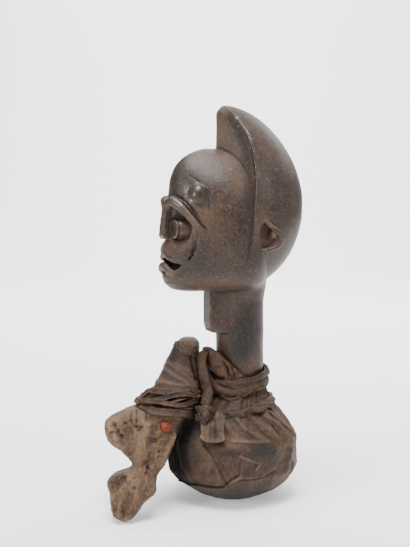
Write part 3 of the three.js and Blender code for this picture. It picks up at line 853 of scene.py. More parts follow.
wood = Finish("old_polished_wood")
proud = wood.attribute("proud")
grain = wood.noise(1.3, 5, (1, 1, 0.07), 0.65)
cloud = wood.noise(24, 5, roughness=0.6)
patches = wood.noise(8, 6, roughness=0.65, distortion=0.5)
mottle = wood.noise(2.0, 8, roughness=0.8)
crumbs = wood.noise(1.5, 4, roughness=0.75)
specks = wood.cells(2.6)
speck_choice = wood.noise(4, 2)
worn = proud.step(0.08, 0.45) * patches.step(0.4, 0.62)
# Hollows, where the skin lies below its surroundings, get painted shade.
hollow = (0.0 - proud).step(0.04, 0.32)
height = wood.node("ShaderNodeSeparateXYZ", {}, {"Vector": wood.place}, "Z")
speck = (1 - specks.step(0.09, 0.2)) * speck_choice.step(0.5, 0.58) * height.step(0.145, 0.165)
colour = wood.layers(
    tint(0.014, 0.0082, 0.0062),
    (cloud.step(0.36, 0.64), tint(0.041, 0.0245, 0.0168)),
    (mottle.step(0.42, 0.68) * 0.6, tint(0.075, 0.044, 0.028)),
    ((1 - mottle.step(0.32, 0.5)) * 0.5, tint(0.008, 0.005, 0.004)),
    (grain.step(0.5, 0.8) * 0.35, tint(0.075, 0.046, 0.03)),
    (patches.step(0.56, 0.7) * 0.5, tint(0.064, 0.028, 0.015)),
    (worn * (0.6 - 0.5 * wood.attribute("polish")), tint(0.16, 0.078, 0.038)),
    (wood.attribute("tan") * (0.15 + 0.6 * mottle), tint(0.11, 0.06, 0.033)),
    (wood.attribute("red") * patches.step(0.4, 0.6) * 0.6, tint(0.14, 0.026, 0.015)),
    # The stain coat darkens real stains and paints shade; the shade, crease and hollow coats are painted
    # shade.
    (wood.attribute("stain_and_shade") * (0.2 + 0.65 * mottle), tint(0.0105, 0.0072, 0.0058)),
    (wood.attribute("shade") * 0.75, tint(0.009, 0.006, 0.005)),
    (wood.attribute("crease") * 0.8, tint(0.008, 0.0045, 0.004)),
    (crumbs.step(0.52, 0.64) * 0.42, tint(0.084, 0.053, 0.036)),
    ((1 - crumbs.step(0.36, 0.48)) * 0.45, tint(0.008, 0.0052, 0.0044)),
    (wood.attribute("seam") * (0.3 + 0.5 * mottle), tint(0.13, 0.068, 0.034)),
    (hollow * 0.85, tint(0.007, 0.0045, 0.0035)),
    (speck * 0.7, tint(0.19, 0.135, 0.08)))
gloss = 0.3 + 0.22 * mottle + 0.1 * cloud + 0.2 * hollow + 0.35 * wood.attribute("shade")
gloss = gloss - 0.14 * wood.attribute("polish") + 0.4 * wood.attribute("seam")
relief = wood.bump(mottle, 0.15)
relief = wood.bump(grain, 0.06, relief)
relief = wood.bump(crumbs, 0.12, relief)
wood.surface_inputs({"Base Color": colour, "Roughness": gloss, "Normal": relief,
                     "Coat Weight": 0.45 * wood.attribute("polish"), "Coat Roughness": 0.24,
                     "Specular IOR Level": 0.32})
head.data.materials.append(wood.material)
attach(head, "root")
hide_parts("carved_head")


# The bundle of hide
# A pouch of raw hide, stuffed and then dried hard, so it keeps its flat facets, creases and flap edges.
# Its mouth is gathered up round the neck, where the straps hold it.
bundle_radius = 47.6
bundle_height = 65.0
bundle_left = -2.1
bundle_front = 4.5
bundle_sides = 14
bundle_form = ([0, 0.07, 0.2, 0.33, 0.67, 0.8, 0.9, 1], [0.42, 0.65, 0.885, 1, 1, 0.89, 0.785, 0.64])
mouth_rise = 25.0
mouth_height = bundle_height + mouth_rise
mouth_front_rise = 20.0
mouth_back_rise = 5.0
mouth_flare = 5.0
mouth_fold = 3.5
neck_gap = 0.3
collar_radius = neck_radius + neck_gap + 1.8
collar_base = bundle_height + 0.52 * mouth_rise
facet_jitter = np.random.default_rng(11).uniform(-1, 1, (9, bundle_sides))


def facet(turn):
    """Distance to the side of a polygon of bundle_sides sides whose corners lie at 1, the corners blunted."""
    wedge = math.pi / bundle_sides
    total = 0
    for shift in np.radians((-1.0, 0, 1.0)):
        off = np.mod(turn + shift, 2 * wedge)
        total = total + math.cos(wedge) / np.cos(off - wedge)
    return total / 3


def facet_dents(turn, up):
    """A small push in or out at each corner of the facets, running straight between them."""
    column = np.mod(turn, 2 * math.pi) / (2 * math.pi) * bundle_sides
    row = np.clip(up / 13.0, 0, 7.99)
    i, j = row.astype(int), column.astype(int) % bundle_sides
    a, b = row - i, column - np.floor(column)
    nxt = (j + 1) % bundle_sides
    low = facet_jitter[i, j] * (1 - b) + facet_jitter[i, nxt] * b
    high = facet_jitter[i + 1, j] * (1 - b) + facet_jitter[i + 1, nxt] * b
    return low * (1 - a) + high * a


def ahead(turn):
    return np.maximum(0, np.cos(turn))


def mouth_top(turn):
    return mouth_height + mouth_front_rise * ahead(turn) ** 2 + mouth_back_rise * ahead(turn + math.pi) ** 2


def lip_flare(turn, up):
    return mouth_flare * np.maximum(0, (up - mouth_height) / mouth_front_rise) * ahead(turn)


def bundle_skin(turn, up, lift=0.0):
    """Points on the bundle's plain skin, by turn round it and height, lifted off it by lift."""
    nearby = (-1.6, -0.8, 0, 0.8, 1.6)
    shares = sum(np.interp((up + shift) / bundle_height, *bundle_form) for shift in nearby) / len(nearby)
    body = bundle_radius * shares * facet(turn)
    share = np.clip((up - bundle_height) / (collar_base - bundle_height), 0, 1)
    share = share * share * (3 - 2 * share)
    shoulder = bundle_radius * bundle_form[1][-1] * facet(turn)
    collar = collar_radius + mouth_fold * ahead(turn) + lip_flare(turn, up)
    above = shoulder + (collar - shoulder) * share
    centred = np.where(up <= bundle_height, 1, 1 - share)
    reach = np.where(up <= bundle_height, body, above) + lift
    return np.stack([bundle_left * centred + reach * np.sin(turn),
                     -bundle_front * centred - reach * np.cos(turn), up + 0 * turn], -1)


def line_offset(across, up, path):
    """Distance to a run of straight lines, positive on its left, and how far past its ends a point lies."""
    best = np.full(across.shape, 1e9)
    signed = np.zeros(across.shape)
    beyond = np.zeros(across.shape)
    for (x0, y0), (x1, y1) in zip(path[:-1], path[1:]):
        length = math.hypot(x1 - x0, y1 - y0)
        run = (x1 - x0) / length, (y1 - y0) / length
        far = (across - x0) * run[0] + (up - y0) * run[1]
        share = np.clip(far, 0, length)
        dx, dy = across - x0 - share * run[0], up - y0 - share * run[1]
        distance = np.hypot(dx, dy)
        side = run[0] * dy - run[1] * dx
        nearer = distance < best
        best = np.where(nearer, distance, best)
        signed = np.where(nearer, np.where(side < 0, -distance, distance), signed)
        beyond = np.where(nearer, np.abs(far - share), beyond)
    return signed, beyond


def crease(across, up, path, width):
    """1 on the path, falling away within width to both sides."""
    signed, _ = line_offset(across, up, path)
    return bell(signed, width)


def flap(across, up, path, fade):
    """The free edge of a layer that lies to the left of the path: 1 at the edge, thinning to 0 over fade."""
    signed, beyond = line_offset(across, up, path)
    lip = 0.5 + 0.5 * np.tanh(signed / 0.35)
    return lip * np.exp(-np.maximum(signed, 0) / fade) * bell(beyond, 2.5)


def ridged(points, grain, seed):
    """Noise from 0 to 1 with sharp ridges, as in pinched hide."""
    return 1 - np.abs(lattice_noise(points, grain, seed)) ** 0.7


def off_spot(across, up, middle, height, half_across, half_up):
    """0 in the middle of a round spot and 1 at its edge."""
    return ((across - middle) / half_across) ** 2 + ((up - height) / half_up) ** 2


def along_skin(*places):
    """Turns in degrees and heights, as lengths along the skin."""
    return [(math.radians(turn) * bundle_radius, up) for turn, up in places]


def curved(*places):
    """The same, as a rounded line through the places."""
    return smooth_path(along_skin(*places), 4 * len(places))


# The flaps have a rise and the length over which they thin out, grooves a depth and a width, and ridges
# a height, a width and how rubbed they are.
bundle_flaps = [
    (along_skin((58.5, 19), (57, 20.8), (54, 25.2), (50, 32.8), (45, 40), (39, 44.4), (34, 47.6), (28, 57)),
     1.1, 18),
    (along_skin((68, 25), (62, 22), (56, 17), (44, 15.6), (34, 16), (24, 16), (5, 14), (-14, 12)), 1.9, 12),
    (along_skin((62, 20), (70, 23.5), (80, 23), (92, 23.5), (103, 27)), 1.3, 8),
    (curved((142, 38), (140, 47), (129, 54), (124, 60.4), (117, 67)), 2.4, 14),
    (curved((200, 60), (205, 40), (214, 22), (230, 12)), 1.6, 12),
    (curved((262, 64), (255, 46), (262, 30), (280, 18), (310, 12)), 1.9, 14),
    (curved((330, 58), (322, 40), (332, 24)), 1.5, 10),
    (along_skin((3, 52), (5, 38), (11, 26), (20, 15)), 1.6, 7),
]
bundle_ridges = [
    (along_skin((63, 49.2), (76, 48.9), (90, 47.4), (99, 47.6)), 1.1, 1.0, 0.45),
    (along_skin((70, 39.6), (77, 37), (88, 33.2), (84, 29)), 1.2, 0.7, 0.6),
    (curved((110, 62), (122, 50), (126, 38), (118, 24)), 1.6, 3.0, 0.1),
    (along_skin((0, 44), (0, 38), (5, 30), (9, 17)), 1.8, 1.3, 0.0),
    (along_skin((9, 52), (11, 42), (16, 30), (27, 20)), 1.6, 1.4, 0.15),
    (along_skin((-12, 52), (-9, 38), (-6, 24), (0, 14)), 1.8, 1.5, 0.0),
    (along_skin((66, 64), (80, 55), (94, 49)), 1.1, 2.2, 0.12),
    (along_skin((86, 66), (97, 58), (109, 49)), 1.2, 2.4, 0.15),
    (along_skin((54, 60), (61, 55), (68, 51)), 0.9, 1.8, 0.1),
    (along_skin((119, 64), (128, 54), (138, 46)), 1.7, 1.2, 0.5),
    (curved((170, 62), (176, 48), (172, 30)), 1.6, 2.0, 0.1),
    (curved((232, 62), (240, 46), (236, 34)), 1.6, 2.0, 0.1),
    (curved((300, 62), (296, 50), (302, 36)), 1.6, 2.0, 0.1),
]
bundle_grooves = [
    (along_skin((122, 67), (126, 60), (133, 53), (142, 45)), 2.2, 0.9),
    (along_skin((4, 48), (6, 38), (13, 24)), 2.0, 1.0),
    (along_skin((-6, 50), (-4, 36), (2, 22)), 2.0, 1.0),
    (along_skin((60, 66), (72, 57), (86, 50)), 0.5, 0.9),
    (along_skin((78, 66), (90, 57), (101, 49)), 0.6, 0.9),
    (along_skin((100, 66), (108, 57), (114, 50)), 0.6, 0.9),
    (curved((150, 66), (156, 54), (152, 44)), 1.5, 0.9),
    (along_skin((-13, 98), (7, 91), (22, 88), (34, 88.5)), 2.2, 1.2),
    (along_skin((35, 101), (40, 96), (44, 90.5)), 1.5, 1.0),
    (along_skin((45, 100), (50, 95.7), (53, 90.8)), 1.5, 1.0),
    (along_skin((57.5, 97.5), (61, 92)), 1.3, 1.0),
    (along_skin((215, 64), (220, 52)), 1.5, 0.9),
    (along_skin((285, 64), (282, 52)), 1.5, 0.9),
]
# Stains and painted shade have a turn, a height and two half sizes in mm: the spot in front under the bone
# and the band along the foot are painted shade. The side behind the bone lies in shadow, which is painted
# dark.
bundle_stains_and_shade = [(94, 43, 10.5, 8), (101, 39, 7, 7), (60, 42, 6, 4), (0, 34, 26, 26), (62, 8, 66, 10),
                 (20, 56, 14, 8), (200, 30, 22, 16), (285, 40, 18, 14)]
bone_shadow_middle = along_skin((1, 34))[0]
lapel = along_skin((-26, 97), (-4, 99), (16, 97), (30, 92))


def bundle_marks(turn, up):
    """Relief in mm, then its painted shade in the folds, grooves and behind the bone, how rubbed its ridges
    are with painted highlight on the pleat crests and flap edges, and its stains with painted shade.
    """
    across = np.mod(turn + math.pi / 2, 2 * math.pi) * bundle_radius - math.pi / 2 * bundle_radius
    spot = bundle_skin(turn, up)
    gather = np.clip((up - 46) / 18, 0, 1)
    collar = np.clip((up - bundle_height - 3) / 12, 0, 1)
    smooth = crease(across, up, lapel, 9.0)
    pleat = ridged(np.stack([turn * 30, up * 0.13 + turn * 3, 0 * up], -1), 3.6, 21)
    fine = ridged(spot * (1, 1, 1.6), 5.5, 22)
    tiny = lattice_noise(spot, 1.8, 24)
    height = 1.5 * facet_dents(turn, up) * (1 - gather)
    height += 0.8 * lattice_noise(spot, 22, 23) * (1 - collar)
    height += (pleat - 0.6) * (1.6 * gather * (1 - collar) + 1.8 * collar * (1 - smooth))
    height += 1.7 * smooth * collar
    height += 0.45 * (fine - 0.7) + 0.08 * tiny
    # Painted shade lies in the valleys of the pleats and painted highlight on their crests.
    dark = 0.9 * np.clip(0.45 - pleat, 0, 1) * np.maximum(gather, collar) * (1 - smooth)
    light = 0.3 * np.clip(pleat - 0.85, 0, 1) * gather
    for path, rise, fade in bundle_flaps:
        height += rise * flap(across, up, path, fade)
        signed, beyond = line_offset(across, up, path)
        ends = bell(beyond, 2.5)
        # Painted shade lies just outside each flap's edge and painted highlight on the flap just inside it.
        dark += 0.5 * rise * ends * bell(signed + 0.6, 0.6)
        light += 0.15 * ends * bell(signed - 0.9, 0.7)
    for path, rise, width, rubbed in bundle_ridges:
        near = crease(across, up, path, width)
        height += rise * near
        light += rubbed * near ** 2
    for path, depth, width in bundle_grooves:
        near = crease(across, up, path, width)
        height -= depth * near
        # Painted shade in the grooves.
        dark += 0.4 * depth * near
    # The painted shadow of the bone on the side behind it, where no highlight is painted.
    painted_bone_shadow = np.exp(-((across - bone_shadow_middle[0]) / 21) ** 4 - ((up - bone_shadow_middle[1]) / 28) ** 4)
    dark += 0.97 * painted_bone_shadow
    light *= 1 - painted_bone_shadow
    stain_and_shade = 0 * up
    for place, *others in bundle_stains_and_shade:
        off = off_spot(across, up, math.radians(place) * bundle_radius, *others)
        stain_and_shade = np.maximum(stain_and_shade, np.exp(-off ** 1.5))
    return height * np.clip(up / 6, 0, 1), np.clip(dark, 0, 1), np.clip(light, 0, 1), stain_and_shade


def grid_mesh(name, rows, closed=True):
    """A skin over rows of points that run anticlockwise seen from their far end, its ends closed by fans."""
    rows = np.array(rows)
    count, around = rows.shape[:2]
    points = list(rows.reshape(-1, 3))
    low = (np.arange(count - 1)[:, None] * around + np.arange(around)[None]).ravel()
    nxt = (np.arange(count - 1)[:, None] * around + (np.arange(around)[None] + 1) % around).ravel()
    faces = [tuple(f) for f in np.stack([low, nxt, nxt + around, low + around], 1)]
    for first, turned in ((0, True), ((count - 1) * around, False)) if closed else ():
        points.append(np.mean(points[first:first + around], axis=0))
        for j in range(around):
            pair = (first + j, first + (j + 1) % around)
            faces.append((*(pair[::-1] if turned else pair), len(points) - 1))
    mesh = bpy.data.meshes.new(name)
    mesh.from_pydata(np.array(points) * mm, [], faces)
    mesh.shade_smooth()
    return mesh


def whole_turn(count):
    return 2 * math.pi * np.arange(count) / count


def on_circle(turn):
    return np.stack([np.cos(turn), np.sin(turn), 0 * turn], -1)


def keep_marks(mesh, marks, *names):
    """Keeps the rows of marks as attributes, with 0 at the middle of each closed end."""
    marks = np.array(marks).transpose(1, 0, 2).reshape(len(names), -1)
    for name, values in zip(names, marks):
        mark(mesh, name, np.append(values, np.zeros(len(mesh.vertices) - len(values))))


def bundle_mesh():
    around = 420
    turn = whole_turn(around)
    rows = []
    marks = []
    bare = np.zeros((3, around))
    foot = bundle_radius * bundle_form[1][0]
    for share in np.linspace(0.08, 0.96, 8):
        rows.append(bundle_skin(turn, 0 * turn, -foot * (1 - share)))
        marks.append(bare)
    uneven = on_circle(turn)
    ragged = 0.9 * lattice_noise(uneven * 3, 1.0, 31) + 0.6 * lattice_noise(uneven * 9, 1.0, 32)
    off_side = np.minimum(np.abs(turn - 1.75), np.abs(turn - 4.6))
    top = mouth_top(turn) + ragged * (0.3 + 0.7 * bell(turn - 0.8, 0.45)) - 0.8
    top -= 2.4 * bell(off_side, 0.6)
    ups = [np.full(around, up) for up in np.linspace(0, bundle_height, 132)]
    ups += [bundle_height + (top - bundle_height) * share for share in np.linspace(0, 1, 70)[1:]]
    for up in ups:
        height, *shades = bundle_marks(turn, up)
        rows.append(bundle_skin(turn, up, height))
        marks.append(shades)
    outer = rows[-1]
    inner_reach = neck_radius + neck_gap + lip_flare(turn, top)
    inner = np.stack([inner_reach * np.sin(turn), -inner_reach * np.cos(turn), top - 1], -1)
    for share in (0.2, 0.4, 0.6, 0.8):
        rows.append(outer + (inner - outer) * share + np.array([0, 0, 1.1 * math.sin(math.pi * share)]))
        marks.append(bare)
    for share in np.linspace(0, 1, 16):
        up = (top - 1) + (neck_foot - neck_gap - top + 1) * share
        reach = neck_radius + neck_gap + lip_flare(turn, up)
        rows.append(np.stack([reach * np.sin(turn), -reach * np.cos(turn), up], -1))
        # Down inside the mouth, by the neck, painted shade deepens.
        marks.append(bare + np.array([[min(1, 3 * share)], [0], [0]]))
    mesh = grid_mesh("hide_bundle_skin", rows)
    keep_marks(mesh, marks, "dark", "light", "stain_and_shade")
    return mesh


bundle = link("hide_bundle_skin", bundle_mesh())
stand_out(bundle.data, 12)


def hide_finish(name, dark, middle, light, soot, seed, hair=0.0):
    """Old raw hide: mottled brown, lighter and smoother where it is rubbed, with painted shade in its folds
    and painted highlight on some crests.
    """
    finish = Finish(name)
    proud = finish.attribute("proud")
    cloud = finish.noise(17 + seed, 5, roughness=0.6, distortion=0.6)
    mottle = finish.noise(3.2, 6, roughness=0.72)
    fibre = finish.noise(0.9, 3)
    patch = finish.noise(9, 4, stretch=(1, 1, 1.4), distortion=0.8)
    warm = finish.noise(7, 4, distortion=0.4)
    rubbed = proud.step(0.06, 0.45)
    fold_shade = (0.0 - proud).step(0.03, 0.38)
    hairs = finish.noise(1.1, 4, (1, 1, 0.12), 0.7, 0.3)
    colour = finish.layers(
        dark,
        (cloud.step(0.38, 0.62), middle),
        (mottle.step(0.45, 0.7) * 0.6, light),
        ((1 - mottle.step(0.3, 0.48)) * 0.5, soot),
        (warm.step(0.5, 0.68) * 0.45, tint(0.085, 0.036, 0.014)),
        (patch.step(0.54, 0.7) * 0.5, soot),
        (hairs.step(0.52, 0.62) * hair, light),
        ((1 - hairs.step(0.38, 0.48)) * hair, soot),
        (rubbed * 0.4, light),
        # The light coat is rubbed wear with painted highlight, the stain coat real stains with painted shade,
        # and the fold shade and dark coats painted shade.
        (finish.attribute("light") * 0.6, tint(0.2, 0.14, 0.1)),
        (finish.attribute("stain_and_shade") * (0.35 + 0.75 * mottle), soot),
        (fold_shade * 0.85, tint(0.008, 0.005, 0.0035)),
        (finish.attribute("dark") * 0.9, tint(0.006, 0.004, 0.003)))
    gloss = 0.38 + 0.32 * mottle + 0.12 * cloud + 0.5 * finish.attribute("dark")
    relief = finish.bump(mottle, 0.4)
    relief = finish.bump(finish.cells(1.5), 0.12, relief)
    relief = finish.bump(fibre, 0.08, relief)
    finish.surface_inputs({"Base Color": colour, "Roughness": gloss, "Normal": relief,
                           "Specular IOR Level": 0.28})
    return finish.material


bundle_hide = hide_finish("dried_bundle_hide", tint(0.02, 0.01, 0.0058), tint(0.061, 0.03, 0.0148),
                          tint(0.1, 0.054, 0.029), tint(0.0095, 0.0072, 0.0066), 0, hair=0.35)
bundle.data.materials.append(bundle_hide)
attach(bundle, "root")
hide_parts("hide_bundle")


# The bone
# An old flat bone hangs in front, broad side out, its tip just clear of the ground.
# Its knobs are rubbed pale and its open grain shows as pits.
bone_length = 113.0
bone_lift = 1.0
bone_turn = math.radians(65)
bone_lean = math.tan(math.radians(33.8))
bone_reach = 24.9
strip_ride = 0.6
strip_thickness = 1.7
wrap_thickness = 2.2
bone_seat = -0.31
seat_across = -(bundle_radius * bundle_form[1][-1] + strip_ride + strip_thickness + wrap_thickness)
bone_across = np.array([math.cos(bone_turn), math.sin(bone_turn), 0])
bone_out = np.array([math.sin(bone_turn), -math.cos(bone_turn), 0])
upward = np.array([0, 0, 1.0])

# Sections in shares of its length: level, front edge and rear edge before the neck, and thickness.
bone_form = np.array([
    [0.0, -0.745, -0.66, 0.07], [0.045, -0.78, -0.623, 0.13], [0.1, -0.79, -0.58, 0.17],
    [0.15, -0.797, -0.522, 0.19], [0.2, -0.811, -0.52, 0.19], [0.24, -0.78, -0.512, 0.18],
    [0.265, -0.695, -0.49, 0.17], [0.3, -0.668, -0.463, 0.17], [0.36, -0.737, -0.43, 0.19],
    [0.41, -0.818, -0.405, 0.21], [0.46, -0.845, -0.385, 0.23], [0.525, -0.84, -0.36, 0.24],
    [0.58, -0.74, -0.325, 0.24], [0.62, -0.635, -0.3, 0.23], [0.72, -0.53, -0.283, 0.22],
    [0.83, -0.468, -0.268, 0.2], [0.93, -0.415, -0.262, 0.17], [0.975, -0.4, -0.268, 0.13],
    [1.0, -0.36, -0.3, 0.05]])
bone_rows = smooth_path(bone_form, 600)


def bone_skin(turn, level, grow=0.0):
    """Points on the bone, by turn round its section from the rear edge outward and level above its tip."""
    front, rear, thick = (np.interp(level, bone_rows[:, 0], bone_rows[:, i]) for i in (1, 2, 3))
    front = seat_across + (front - bone_seat) * bone_length - grow
    rear = seat_across + (rear - bone_seat) * bone_length + grow
    thick = thick * bone_length + 2 * grow
    blunt = np.sqrt(np.clip(1 - (1 - np.clip(level / 0.035, 0, 1)) ** 2, 0.12, 1))
    out = bone_reach + (bundle_height - bone_lift - level * bone_length) * bone_lean
    cosine, sine = np.cos(turn), np.sin(turn)
    across = (front + rear) / 2 + (rear - front) / 2 * blunt * np.sign(cosine) * np.abs(cosine) ** 0.85
    outward = out + thick / 2 * blunt * np.sign(sine) * np.abs(sine) ** 0.85
    return (np.multiply.outer(across, bone_across) + np.multiply.outer(outward, bone_out)
            + np.multiply.outer(bone_lift + level * bone_length, upward))


# Lines on the broad face, as lengths across from the neck and up, with a height in mm and a width.
bone_lines = [
    ([(-93, 61), (-91.5, 58), (-89, 54), (-86, 50.5)], 1.3, 1.4),
    ([(-89.6, 60), (-86.6, 55.7), (-83, 51.8)], -1.4, 1.4),
    ([(-66.5, 60), (-69, 52), (-70.3, 45), (-70.6, 37), (-72.2, 29), (-75.5, 22)], 0.6, 3.0),
    ([(-78, 60), (-79, 52), (-77, 44)], -0.9, 3.0),
    ([(-60, 58), (-62, 48), (-63, 38)], -1.0, 2.8),
    ([(-88.8, 20), (-90, 25), (-87.5, 29), (-83.5, 30.6), (-78, 30.8)], 1.6, 1.5),
    ([(-86, 22), (-84.5, 25.3), (-81, 27)], -3.0, 2.6),
    ([(-74.5, 30), (-77.3, 27.3), (-81.1, 23.5), (-84.9, 19.3), (-87.5, 14)], 1.7, 1.5),
    ([(-80, 20), (-81.7, 15), (-82.5, 10.5), (-83.6, 6)], 1.1, 1.6),
    ([(-76, 18), (-78, 12), (-79, 8)], -0.5, 2.2),
    ([(-61, 19), (-60, 25)], 1.3, 2.4),
    ([(-64, 36), (-63.2, 32)], -1.1, 1.8),
    ([(-46, 52), (-51, 43), (-55, 35)], 1.2, 1.6),
    ([(-71, 61), (-72, 69)], 0.9, 0.6),
    ([(-74, 61), (-74.5, 69)], 0.9, 0.6),
    ([(-68.5, 62), (-69, 68)], 0.8, 0.6),
    ([(-77, 62), (-77.2, 67)], -0.9, 0.6),
    ([(-66, 63), (-66.2, 68)], -0.8, 0.6),
    ([(-72.8, 61), (-73.3, 68)], -0.9, 0.6),
    ([(-88, 49), (-82, 45), (-77, 38)], 0.5, 1.0),
    ([(-67, 50), (-65, 41), (-66, 33)], 0.5, 1.0),
    ([(-58, 40), (-64, 30), (-66, 22)], 0.5, 1.0),
    ([(-70, 27), (-72, 17), (-76, 9)], 0.5, 1.0),
]
# Where open grain shows, as the middle across and up, and two half sizes.
bone_pores = [(-84, 60.5, 11, 4), (-88, 55, 5, 5), (-72, 58, 6, 3.5), (-66, 34, 8, 5), (-83, 8, 6, 5),
              (-58, 47, 6, 8)]


def bone_marks(turn, level):
    """Relief in mm, then how porous the bone is, how light and how dark it is, and how red.
    Light is its rubbed tip and knob, a lighter top and painted highlight on its ridges; dark is painted shade
    in its grooves and along its front and rear edges.
    """
    spot = bone_skin(turn, level)
    across, up = spot @ bone_across, spot[..., 2]
    facing = np.clip(np.sin(turn) * 2.2, 0, 1)
    pores = 0 * up
    for place in bone_pores:
        pores = np.maximum(pores, np.exp(-off_spot(across, up, *place)))
    patches = np.clip(lattice_noise(spot, 13, 42) - 0.1, 0, 1)
    pores = np.maximum(pores * facing, 0.8 * patches)
    pits = np.clip(lattice_noise(spot, 1.9, 41) - 0.1, 0, 1)
    relief = 0.6 * lattice_noise(spot, 13, 43) + 0.3 * lattice_noise(spot, 4.5, 44)
    relief += 0.34 * lattice_noise(spot, 1.7, 45)
    relief -= 2.3 * pits * pores
    light = 0 * up
    for path, height, width in bone_lines:
        near = crease(across, up, path, width) * facing
        relief += height * near
        # Ridges take painted highlight and grooves painted shade.
        light += 0.35 * near * (height > 0) - 0.8 * near * (height < 0)
    # Painted shade along the bone's front and rear edges.
    light -= 0.8 * np.clip(1 - 2.2 * np.sin(turn), 0, 1) * (np.sin(turn) > -0.3)
    light += 0.3 * np.clip((up - 46) / 16, 0, 1) * facing
    tip = np.clip(1 - up / 8, 0, 1)
    light += 0.8 * tip + 0.4 * np.clip((-82 - across) / 6, 0, 1) * (up > 40)
    red = 0.9 * facing * np.exp(-off_spot(across, up, -70.1, 58.3, 3, 1.8))
    red += 0.7 * facing * np.exp(-off_spot(across, up, -84, 60, 8, 2))
    return relief, *(np.clip(shade, 0, 1) for shade in (pits * pores * 2.5, light, -light, red))


def bone_mesh():
    around = 280
    turn = -whole_turn(around)
    rows = []
    marks = []
    levels = np.concatenate([[0.001, 0.003, 0.006, 0.01, 0.015, 0.021], np.linspace(0.027, 0.996, 310)])
    for level in levels:
        relief, *shades = bone_marks(turn, np.full(around, level))
        fade = min(1, level * 25 + 0.2, (1 - level) * 25)
        rows.append(bone_skin(turn, np.full(around, level), relief * fade))
        marks.append(shades)
    mesh = grid_mesh("old_bone", rows)
    keep_marks(mesh, marks, "pores", "light", "dark", "red")
    return mesh


bone = link("old_bone", bone_mesh())
stand_out(bone.data, 10)
old_bone = Finish("old_rubbed_bone")
proud = old_bone.attribute("proud")
cloud = old_bone.noise(12, 5, distortion=0.5)
mottle = old_bone.noise(2.2, 8, roughness=0.8)
grain_holes = old_bone.cells(1.2)
fibre = old_bone.noise(1.6, 5, stretch=(1, 1, 0.3), roughness=0.7, distortion=0.4)
hollow_shade = (0.0 - proud).step(0.04, 0.35)
rubbed = proud.step(0.05, 0.5)
bone_dirt_and_shade = tint(0.022, 0.011, 0.007)
colour = old_bone.layers(
    tint(0.042, 0.0205, 0.0095),
    (cloud.step(0.36, 0.64), tint(0.098, 0.054, 0.0255)),
    (mottle.step(0.46, 0.72) * 0.6, tint(0.165, 0.097, 0.052)),
    ((1 - mottle.step(0.3, 0.5)) * 0.7, bone_dirt_and_shade),
    (rubbed * 0.45, tint(0.18, 0.108, 0.06)),
    # The light coat is the rubbed tip and knob with painted highlight on ridges; the dark coat is painted
    # shade.
    (old_bone.attribute("light") * (0.3 + 0.6 * mottle), tint(0.26, 0.18, 0.115)),
    (old_bone.attribute("dark") * 0.6, tint(0.022, 0.012, 0.008)),
    (old_bone.attribute("pores") * 0.85, tint(0.035, 0.012, 0.007)),
    (old_bone.attribute("red") * mottle.step(0.42, 0.6) * 0.5, tint(0.13, 0.026, 0.012)),
    (fibre.step(0.52, 0.66) * 0.5, tint(0.2, 0.12, 0.066)),
    ((1 - fibre.step(0.33, 0.47)) * 0.55, bone_dirt_and_shade),
    # Painted shade in the hollows.
    (hollow_shade * 0.7, bone_dirt_and_shade),
    ((1 - grain_holes.step(0.12, 0.3)) * 0.3, tint(0.03, 0.015, 0.009)))
relief = old_bone.bump(mottle, 0.8)
relief = old_bone.bump(grain_holes.step(0.1, 0.4), 0.2, relief)
relief = old_bone.bump(fibre, 0.35, relief)
old_bone.surface_inputs({"Base Color": colour, "Roughness": 0.38 + 0.3 * mottle + 0.15 * hollow_shade,
                         "Normal": relief, "Specular IOR Level": 0.28})
bone.data.materials.append(old_bone.material)
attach(bone, "root")
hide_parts("bone_relic")


# The hide sleeve
# A piece of softer hide is wrapped round the upper half of the bone and twisted into folds where it is tied.
hem_rise = 2.7
hem_level = (bundle_height + hem_rise - bone_lift) / bone_length
hem_slant = 0.03
sleeve_top = 0.92
top_slant = 0.035
sleeve_folds = [
    ([(-68, 75.5), (-62.6, 80), (-55, 80.8), (-49, 80.6), (-42, 82), (-36.4, 83), (-31.8, 79)], 1.6, 1.3),
    ([(-66, 74.5), (-60, 77), (-54, 77.5), (-49, 78)], -2.4, 1.3),
    ([(-55.8, 76), (-52.4, 78.5), (-48.4, 80), (-43.3, 80.6), (-37.5, 80.4), (-31.8, 77)], 1.7, 1.0),
    ([(-50, 76.5), (-45, 78), (-40, 78.4), (-34, 78.2)], -1.9, 0.9),
    ([(-48.9, 74.3), (-44.9, 75.5), (-40.9, 76.6), (-35.2, 77.3), (-31, 76.5)], 1.5, 1.0),
    ([(-47, 72.5), (-42, 73.5), (-37, 75)], -1.6, 0.9),
    ([(-42, 72.2), (-37.5, 74.3), (-32.9, 75.6)], 1.3, 0.9),
    ([(-70.7, 73.4), (-63.4, 74.8), (-56.4, 75.4), (-51.7, 73.6), (-47.7, 72), (-43.1, 70.6), (-36, 69.5)],
     1.5, 1.1),
    ([(-66, 72.6), (-60.4, 72.9), (-54.5, 71.6), (-48.8, 70.4), (-40, 68.6), (-34, 67)], -1.8, 0.8),
    ([(-45.9, 98.2), (-38.8, 94.7), (-31.8, 89.9)], 0.9, 1.2),
    ([(-52, 98.6), (-45.9, 95.7), (-37.6, 90.5), (-31.8, 85.2)], 0.8, 1.3),
    ([(-54.3, 94.6), (-48.1, 91.6), (-39.9, 87.6), (-31.8, 82.5)], 0.9, 1.3),
    ([(-61, 84.8), (-53.9, 86.7), (-45.6, 85.1), (-37.5, 84.4)], 0.9, 1.2),
    ([(-36, 104), (-34.5, 96), (-32, 88)], -1.2, 1.0),
]


def sleeve_level(turn, share):
    hem = hem_level - hem_slant * np.cos(turn)
    top = sleeve_top - top_slant * np.cos(turn)
    return hem + (top - hem) * share


